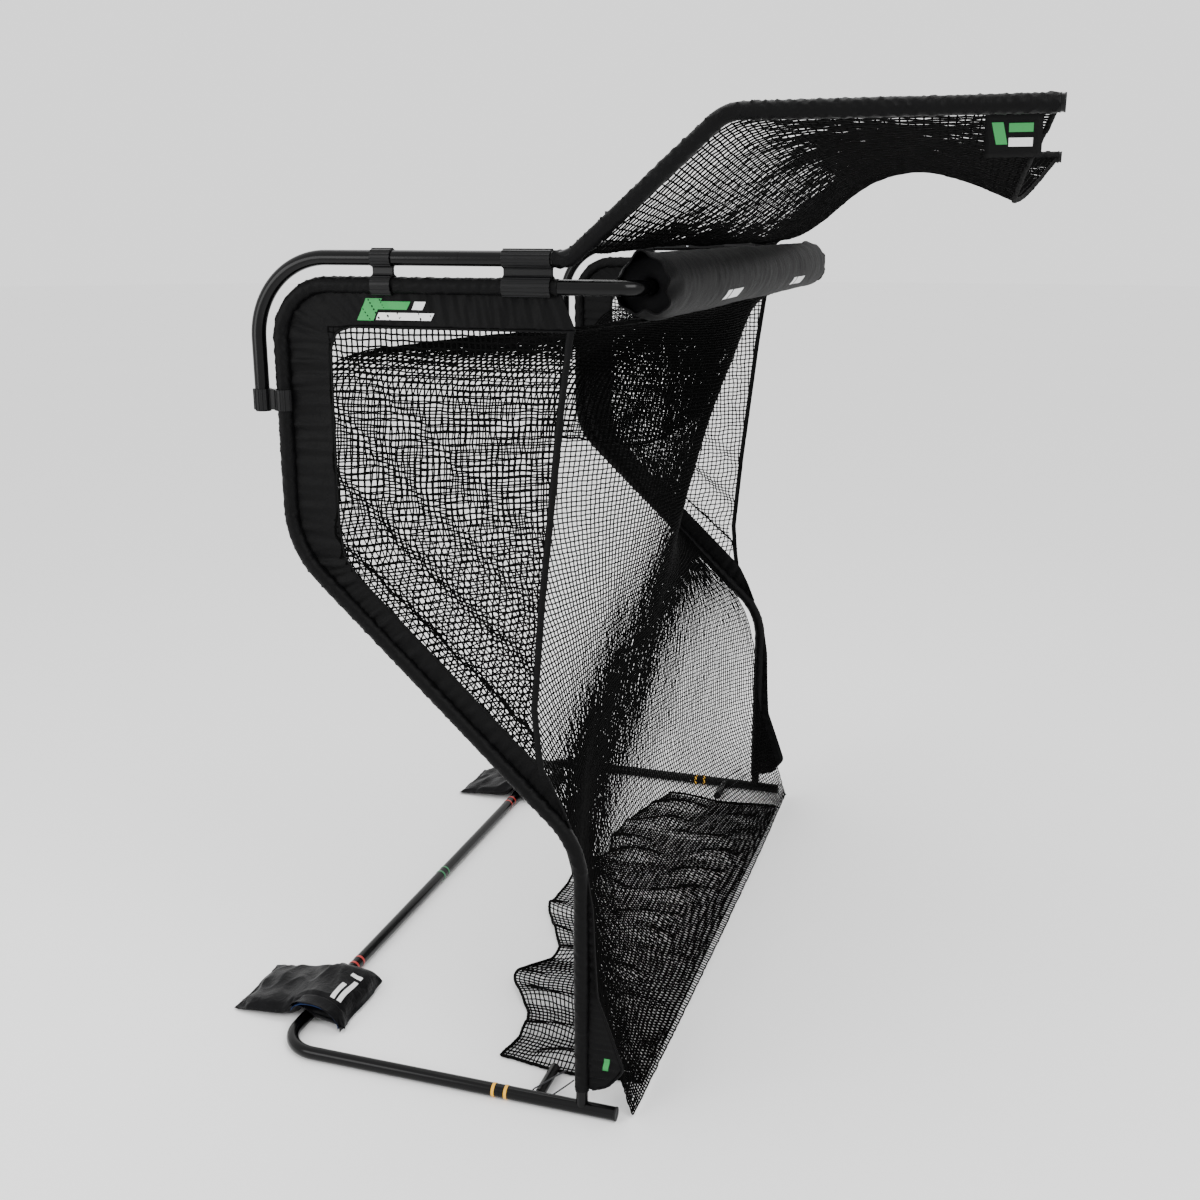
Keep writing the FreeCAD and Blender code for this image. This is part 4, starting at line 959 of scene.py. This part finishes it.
class PRACTICENET_OT_crossbar_pad(bpy.types.Operator):
    """Builds the foam round the crossbar and its nylon cover with crumpled open ends"""

    bl_idname = "practice_net.crossbar_pad"
    bl_label = "Crossbar pad"

    def execute(self, context):
        rng = np.random.default_rng(71)
        rings, around = 470, 72
        line = np.column_stack([np.linspace(-COVER_HALF, COVER_HALF, rings),
                                np.full(rings, PAD_Y), np.full(rings, PAD_Z)])
        angles = (np.arange(around) * 2 * math.pi / around)[None, :]
        beyond = np.clip((np.abs(line[:, 0]) - 1.085) / 0.087, 0, 1)[:, None]
        depth = creases(line, around, rng, 0.16, 0.0009)
        depth += swell(np.stack(np.broadcast_arrays(line[:, :1], 0.08 * angles), axis=-1),
                       0.22, rng) * 0.0012
        folds = cover_folds(angles, line[:, :1])
        radii = COVER_RADIUS + np.clip(depth, -0.004, 0.003)
        radii = radii * (1 - 0.16 * beyond ** 2) + folds * 0.013 * beyond ** 1.5
        sag = np.cos(angles - math.pi) * -0.006 * beyond
        grid = tube_rings(line, radii + sag, UP)
        cover = thicken(cloth("crossbar_cover", grid, closed=True), 0.0014, -1)
        dress(cover, "cover_nylon")
        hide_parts("crossbar_pad_cover")
        self.seams(rng)
        self.foam()
        return {"FINISHED"}

    def seams(self, rng):
        """The sewn edges of the cover's two open ends."""
        for side, s in SIDES:
            angles = np.linspace(0, 2 * math.pi, 73)[:-1]
            folds = cover_folds(angles, COVER_HALF * s)
            radii = COVER_RADIUS * 0.84 + folds * 0.013 + np.cos(angles - math.pi) * -0.006
            other = np.cross(PLAYERS_RIGHT, UP)
            ring = (np.array([1.170 * s, PAD_Y, PAD_Z])[None, :]
                    + radii[:, None] * (np.cos(angles)[:, None] * UP + np.sin(angles)[:, None] * other))
            ring = np.concatenate([ring, ring[:1]])
            edge = hem(f"cover_edge_{side}", ring, 0.0028, rng, 6)
            dress(edge, "cover_nylon")

    def foam(self):
        """A foam tube with softened ends, joined to its own bore."""
        sides = 48
        angles = np.arange(sides) * 2 * math.pi / sides
        right = [(x, radius) for radius, x in FOAM_HALF_OUTLINE]
        left = [(-x, radius) for x, radius in right[-2::-1]]
        rings = []
        for x, radius in (right + left)[::-1]:
            wobble = radius * (1 + 0.004 * np.sin(5 * angles))
            rings.append(np.column_stack([np.full(sides, x), PAD_Y - wobble * np.sin(angles),
                                          PAD_Z + wobble * np.cos(angles)]))
        bore = FOAM_HALF_OUTLINE[0][0]
        for x in (0.5, -0.5):
            rings.append(np.column_stack([np.full(sides, x), PAD_Y - bore * np.sin(angles),
                                          PAD_Z + bore * np.cos(angles)]))
        index = np.arange(len(rings) * sides).reshape(len(rings), sides)
        beside = np.roll(index, -1, axis=1)
        faces = np.stack([index, beside, np.roll(beside, -1, axis=0), np.roll(index, -1, axis=0)],
                         axis=-1)
        foam = show("crossbar_foam", np.concatenate(rings), faces.reshape(-1, 4).tolist())
        dress(foam, "closed_cell_foam")
        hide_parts("crossbar_pad_foam")


# ---------------------------------------------------------------- sandbags
class PRACTICENET_OT_sandbags(bpy.types.Operator):
    """Builds the two limp sandbags that hang over the rear bar"""

    bl_idname = "practice_net.sandbags"
    bl_label = "Sandbags"

    # section of a bag along its depth, from the bar's middle: its top, its underside and its mouth
    depth = [-0.132, -0.122, -0.096, -0.060, -0.026, 0, 0.026, 0.052, 0.080, 0.110, 0.150, 0.200,
             0.245, 0.262]
    top = [0.012, 0.032, 0.056, 0.070, 0.075, 0.074, 0.069, 0.058, 0.048, 0.042, 0.035, 0.024,
           0.013, 0.008]
    under = [0.008, 0.003, 0.002, 0.002, 0.006, 0.0445, 0.044, 0.006, 0.002, 0.002, 0.002, 0.002,
             0.002, 0.005]
    arch = [(-0.128, 0.003), (-0.118, 0.036), (-0.094, 0.060), (-0.058, 0.078), (-0.020, 0.083),
            (0.016, 0.079), (0.040, 0.064), (0.052, 0.046)]

    def execute(self, context):
        for side, s in SIDES:
            bag = self.bag(f"weight_bag_{side}", s, np.random.default_rng(81))
            inflate(bag, 0.007)
            dress(bag, "bag_nylon", f"sandbag_{side}")
            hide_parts(f"sandbag_{side}")
            rng = np.random.default_rng(84)
            mouth = self.mouth(f"bag_mouth_{side}", s, rng, 1.0, 0.0985, 0.151)
            dress(mouth, "bag_nylon", f"sandbag_{side}")
            lining = self.mouth(f"bag_lining_{side}", s, rng, 0.93, 0.112, 0.143)
            dress(lining, "lining_nylon", f"sandbag_{side}")
        return {"FINISHED"}

    def bag(self, name, s, rng):
        """A limp double pouch, thick where its sand lies, bent over the bar."""
        rows, columns = 90, 66
        v = np.linspace(0, 1, rows)
        at = np.linspace(0, 1, len(self.depth))
        y, high, low = (np.interp(v, at, values) for values in (self.depth, self.top, self.under))
        u = np.linspace(-1, 1, columns)
        full = np.clip(1 - np.abs(u) ** 5, 0, 1) ** 0.6
        pinch = 1 - 0.05 * np.exp(-((v - 0.5) / 0.12) ** 2)
        end = np.clip(np.minimum(v, 1 - v) / 0.02, 0, 1)
        seam = low[:, None] * 0.35 + high[:, None] * 0.65
        skins = []
        for target in (high, low):
            z = seam + (target[:, None] - seam) * full[None, :] * end[:, None]
            x = u[None, :] * 0.145 * pinch[:, None]
            skins.append(np.stack([x, np.broadcast_to(y[:, None], z.shape), z], axis=-1))
        folds = 1 - 2 * np.abs(swell(skins[0] * [1, 1, 0], 0.11, rng)) ** 0.7
        crumple = swell(skins[0], 0.07, rng) * 0.005 + folds * 0.004
        skins[0][:, :, 2] += crumple * full[None, :] * end[:, None]
        edge = 0.006 * swell(skins[0], 0.09, rng) * np.abs(u)[None, :]
        for points in skins:
            points[:, :, 1] += edge + BAG_Y
            points[:, :, 0] = (points[:, :, 0] + BAG_X) * s
        bag = join([cloth("top", skins[0]), cloth("low", skins[1][::-1])], name)
        bpy.ops.object.select_all(action="DESELECT")
        bpy.context.view_layer.objects.active = bag
        bag.select_set(True)
        bpy.ops.object.mode_set(mode="EDIT")
        bpy.ops.mesh.select_all(action="SELECT")
        bpy.ops.mesh.remove_doubles(threshold=0.0004)
        bpy.ops.mesh.normals_make_consistent(inside=False)
        bpy.ops.object.mode_set(mode="OBJECT")
        bag.select_set(False)
        return bag

    def mouth(self, name, s, rng, size, inner, outer):
        """The open end of the front pouch, as an arch of cloth."""
        bend = np.array(self.arch) * size
        line = even_line(np.column_stack([np.zeros(len(bend)), bend]), 0.006)
        for _ in range(3):
            line[1:-1] = (line[:-2] + 2 * line[1:-1] + line[2:]) / 4
        x = np.linspace(inner, outer, 10)
        grid = np.repeat(line[None], len(x), axis=0)
        grid[:, :, 0] = (x[:, None] + BAG_X) * s
        wave = swell(grid, 0.06, rng) * np.linspace(0.15, 1, len(x))[:, None]
        grid[:, :, 1] += wave * 0.004 + BAG_Y
        grid[:, :, 2] = np.maximum(grid[:, :, 2] + wave * 0.005, 0.002)
        return thicken(cloth(name, grid if s < 0 else grid[::-1]), 0.0014)


# ---------------------------------------------------------------- elastic loops
class PRACTICENET_OT_elastic(bpy.types.Operator):
    """Builds the elastic cords from the foot gussets round the hook pins"""

    bl_idname = "practice_net.elastic"
    bl_label = "Elastic loops"

    def execute(self, context):
        for side, s in SIDES:
            x = 1.175 * s
            route = [(x, 0.056, 0.109), (x, 0.096, 0.078), (x, 0.131, 0.047), (x, 0.164, 0.022),
                     (x, 0.150, 0.0026), (x, 0.128, 0.0026), (x, 0.105, 0.014), (x, 0.072, 0.044),
                     (x, 0.033, 0.082)]
            curve = bpy.data.curves.new(f"elastic_cord_{side}", "CURVE")
            curve.dimensions = "3D"
            spline = curve.splines.new("NURBS")
            spline.points.add(len(route) - 1)
            for point, place in zip(spline.points, route):
                point.co = (*place, 1)
            spline.order_u = 3
            spline.use_endpoint_u = True
            curve.bevel_depth = 0.0022
            curve.bevel_resolution = 3
            curve.resolution_u = 8
            curve.use_fill_caps = True
            loop = bpy.data.objects.new(f"elastic_cord_{side}", curve)
            context.scene.collection.objects.link(loop)
            dress(loop, "braided_elastic")
            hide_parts(f"elastic_loop_{side}")
            length = self.length(curve)
        return {"FINISHED"}

    def length(self, curve):
        """Length of the curve's own line."""
        bare = curve.copy()
        bare.bevel_depth = 0
        holder = bpy.data.objects.new("measure", bare)
        mesh = bpy.data.meshes.new_from_object(holder)
        points = np.array([v.co[:] for v in mesh.vertices])
        bpy.data.objects.remove(holder)
        bpy.data.meshes.remove(mesh)
        bpy.data.curves.remove(bare)
        return float(running_length(points)[-1])


# ---------------------------------------------------------------- printed marks
def print_mark(name, corners, to_point, target, finish, body="frame", axis=None):
    """A patch of ink: a bar given by its corners in a flat drawing, pressed onto the cloth."""
    a, b, c, d = [np.array(p, float) for p in corners]
    s, t = np.meshgrid(np.linspace(0, 1, 14), np.linspace(0, 1, 8))
    flat = ((1 - s)[..., None] * ((1 - t)[..., None] * a + t[..., None] * d)
            + s[..., None] * ((1 - t)[..., None] * b + t[..., None] * c))
    grid = np.array([[to_point(*p) for p in row] for row in flat])
    patch = cloth(name, grid)
    lift = 0.0008  # of the ink over the cloth
    if axis is None:
        apply_modifier(patch, "SHRINKWRAP", target=target, offset=lift,
                       wrap_method="NEAREST_SURFACEPOINT", wrap_mode="OUTSIDE_SURFACE")
    else:
        apply_modifier(patch, "SHRINKWRAP", target=target, offset=lift, wrap_method="PROJECT",
                       wrap_mode="OUTSIDE_SURFACE", use_negative_direction=True,
                       use_positive_direction=True, **{f"use_project_{axis}": True})
    return dress(patch, finish, body)


def bar(left, low, width, height, slant=0.0):
    """Corners of a bar that leans by slant over its height."""
    return [(left, low), (left + width, low), (left + width + slant, low + height),
            (left + slant, low + height)]


class PRACTICENET_OT_marks(bpy.types.Operator):
    """Builds the plain printed bars on the borders, pad, bags and overhead net's label"""

    bl_idname = "practice_net.marks"
    bl_label = "Printed marks"

    def execute(self, context):
        objects = bpy.data.objects
        for side, s in SIDES:
            border = objects[f"border_{side}"]

            def on_border(u, v, s=s):
                return (s * (TUBE_X + 0.03), 0.590 - u, v)

            def on_gusset(u, v, s=s):
                return (s * (TUBE_X + 0.02), -0.060 - u, v)

            drawings = [("green_ink", bar(0.0, 2.180, 0.045, 0.055, 0.028)),
                        ("green_ink", bar(0.058, 2.208, 0.080, 0.020, 0.010)),
                        ("white_ink", bar(0.052, 2.182, 0.150, 0.018, 0.009)),
                        ("white_ink", bar(0.150, 2.208, 0.030, 0.020, 0.010))]
            for i, (ink, corners) in enumerate(drawings):
                print_mark(f"border_mark_{side}_{i}", corners, on_border, border, ink, axis="x")
            print_mark(f"gusset_mark_{side}", bar(0.0, 0.150, 0.016, 0.040, 0.006), on_gusset,
                       border, "green_ink", axis="x")
            bag = objects[f"weight_bag_{side}"]

            def on_bag(u, v, s=s):
                return (s * BAG_X + u, BAG_Y - 0.098 + v, 0.10)

            for i, corners in enumerate((bar(-0.085, 0.0, 0.120, 0.014, 0.0),
                                         bar(-0.085, 0.022, 0.085, 0.014, 0.0),
                                         bar(0.050, 0.0, 0.018, 0.036, 0.0))):
                print_mark(f"bag_mark_{side}_{i}", corners, on_bag, bag, "white_ink",
                           f"sandbag_{side}", axis="z")
        cover = objects["crossbar_cover"]

        def on_pad(x, angle):
            return (x, PAD_Y + 0.085 * math.sin(angle), PAD_Z + 0.085 * math.cos(angle))

        for i, start in enumerate((-0.62, 0.42)):
            for k, (left, width) in enumerate(((0.0, 0.055), (0.07, 0.13))):
                corners = bar(start + left, -2.25, width, 0.34, 0.03)
                print_mark(f"crossbar_mark_{i}_{k}", corners, on_pad, cover, "white_ink")
        self.label()
        return {"FINISHED"}

    def label(self):
        """The small sewn label at the overhead net's near front corner."""
        corner = (-1.168, -0.905, 2.640)
        across, along, drop = 0.10, 0.120, 0.085
        s, t = np.meshgrid(np.linspace(0, 1, 12), np.linspace(0, 1, 10))
        grid = np.stack([corner[0] + across * t, corner[1] - along * s, corner[2] - drop * t],
                        axis=-1)
        patch = thicken(cloth("overhead_label", grid), 0.0015)
        dress(patch, "cover_nylon")

        def on_label(u, v):
            return (corner[0] + across * v - 0.01, corner[1] - along * u,
                    corner[2] - drop * v - 0.01)

        for i, (ink, corners) in enumerate((("green_ink", bar(0.12, 0.2, 0.2, 0.5, 0.08)),
                                            ("white_ink", bar(0.42, 0.55, 0.42, 0.2, 0.0)),
                                            ("green_ink", bar(0.42, 0.22, 0.42, 0.2, 0.0)))):
            print_mark(f"label_mark_{i}", corners, on_label, patch, ink)


# ---------------------------------------------------------------- frame parts
class PRACTICENET_OT_frame_parts(bpy.types.Operator):
    """Gives the tubes, clips, caps, tape bands and buttons their finishes"""

    bl_idname = "practice_net.frame_parts"
    bl_label = "Frame parts"

    finishes = {
        "black_tube": "powder_coated_aluminium", "clip_plastic": "clip_plastic",
        "cap_plastic": "cap_plastic", "yellow_tape": "yellow_vinyl", "red_tape": "red_vinyl",
        "green_tape": "green_vinyl", "button_steel": "zinc_plated_steel",
    }

    def execute(self, context):
        for part in frame["record"]["subparts"]:
            if part["material_slot"] not in self.finishes:
                continue
            node = frame["nodes"][part["node"]]
            material = finish_of(self.finishes[part["material_slot"]])
            for slot in node.material_slots:
                slot.material = material
        return {"FINISHED"}


# ---------------------------------------------------------------- stage
class PRACTICENET_OT_stage(bpy.types.Operator):
    """Builds the floor, the soft lights and the camera"""

    bl_idname = "practice_net.stage"
    bl_label = "Stage"

    def execute(self, context):
        look = context.scene.stage_look
        bpy.ops.object.select_all(action="DESELECT")
        bpy.ops.mesh.primitive_circle_add(vertices=96, radius=60, fill_type="NGON",
                                          location=(0, 0, -0.001))
        floor = context.active_object
        floor.name = "studio_floor"
        material, tree, shader = start_material("matt_floor", list(look.floor), 0.9)
        place = add_node(tree, "ShaderNodeTexCoord").outputs["Object"]
        vary(tree, shader, place, 0.4, list(look.floor), srgb("#f8f8f8"), 0.86, 0.95)
        floor.data.materials.append(material)
        floor.select_set(False)
        self.lights(context, look)
        self.camera(context)
        return {"FINISHED"}

    def lights(self, context, look):
        world = bpy.data.worlds.new("soft_surround")
        world.use_nodes = True
        background = world.node_tree.nodes["Background"]
        background.inputs["Color"].default_value = (1, 1, 1, 1)
        background.inputs["Strength"].default_value = 1.5
        context.scene.world = world
        for name, place, target, size, power in (
            ("key_light", (-3.5, -3.0, 4.6), (0, 0, 1.2), 2.6, look.light),
            ("fill_light", (-4.5, 3.2, 2.6), (0, 0.3, 1.2), 2.2, look.light * 0.45),
            ("top_light", (0.5, 0.5, 5.4), (0, 0, 1.5), 3.2, look.light * 0.5),
        ):
            light = bpy.data.lights.new(name, "AREA")
            light.size = size
            light.energy = power
            lamp = bpy.data.objects.new(name, light)
            lamp.location = place
            aim = Vector(target) - Vector(place)
            lamp.rotation_euler = aim.to_track_quat("-Z", "Y").to_euler()
            context.scene.collection.objects.link(lamp)

    def camera(self, context):
        camera = bpy.data.cameras.new("view")
        camera.sensor_width = 36
        camera.lens = 40.96
        camera.clip_end = 200
        holder = bpy.data.objects.new("view", camera)
        holder.location = (-4.3527, -1.0678, 2.406)
        yaw, down = 0.3115, 0.2665
        aim = Vector((math.cos(down) * math.cos(yaw), math.cos(down) * math.sin(yaw),
                      -math.sin(down)))
        holder.rotation_euler = aim.to_track_quat("-Z", "Y").to_euler()
        context.scene.collection.objects.link(holder)
        context.scene.camera = holder


class PRACTICENET_PT_panel(bpy.types.Panel):
    """Lists the steps that build the practice net"""

    bl_idname = "PRACTICENET_PT_panel"
    bl_label = "Practice Net"
    bl_space_type = "VIEW_3D"
    bl_region_type = "UI"
    bl_category = "Practice Net"

    def draw(self, context):
        scene = context.scene
        for group, names in ((scene.net_sizes, ("mesh_size", "cord_size", "slack")),
                             (scene.fabric_look, ("crease", "nylon", "cord", "lining", "green",
                                                  "white")),
                             (scene.stage_look, ("floor", "light"))):
            for name in names:
                self.layout.prop(group, name)
        for operator in BUILD_ORDER:
            self.layout.operator(operator.bl_idname)


BUILD_ORDER = (
    PRACTICENET_OT_stage, PRACTICENET_OT_elastic, PRACTICENET_OT_frame_parts, PRACTICENET_OT_borders,
    PRACTICENET_OT_roof_sleeves, PRACTICENET_OT_crossbar_pad, PRACTICENET_OT_main_net,
    PRACTICENET_OT_upper_layer, PRACTICENET_OT_side_nets, PRACTICENET_OT_roof_net, PRACTICENET_OT_tail,
    PRACTICENET_OT_sandbags, PRACTICENET_OT_marks,
)
GROUPS = (("net_sizes", NetSizes), ("fabric_look", FabricLook), ("stage_look", StageLook))


def register():
    for name, group in GROUPS:
        bpy.utils.register_class(group)
        setattr(bpy.types.Scene, name, bpy.props.PointerProperty(type=group))
    for cls in (*BUILD_ORDER, PRACTICENET_PT_panel):
        bpy.utils.register_class(cls)


def unregister():
    for cls in reversed((*BUILD_ORDER, PRACTICENET_PT_panel)):
        bpy.utils.unregister_class(cls)
    for name, group in reversed(GROUPS):
        delattr(bpy.types.Scene, name)
        bpy.utils.unregister_class(group)


def main():
    register()
    bpy.ops.object.select_all(action="DESELECT")
    for operator in BUILD_ORDER:
        group, name = operator.bl_idname.split(".")
        getattr(getattr(bpy.ops, group), name)()


if __name__ == "__main__":
    main()
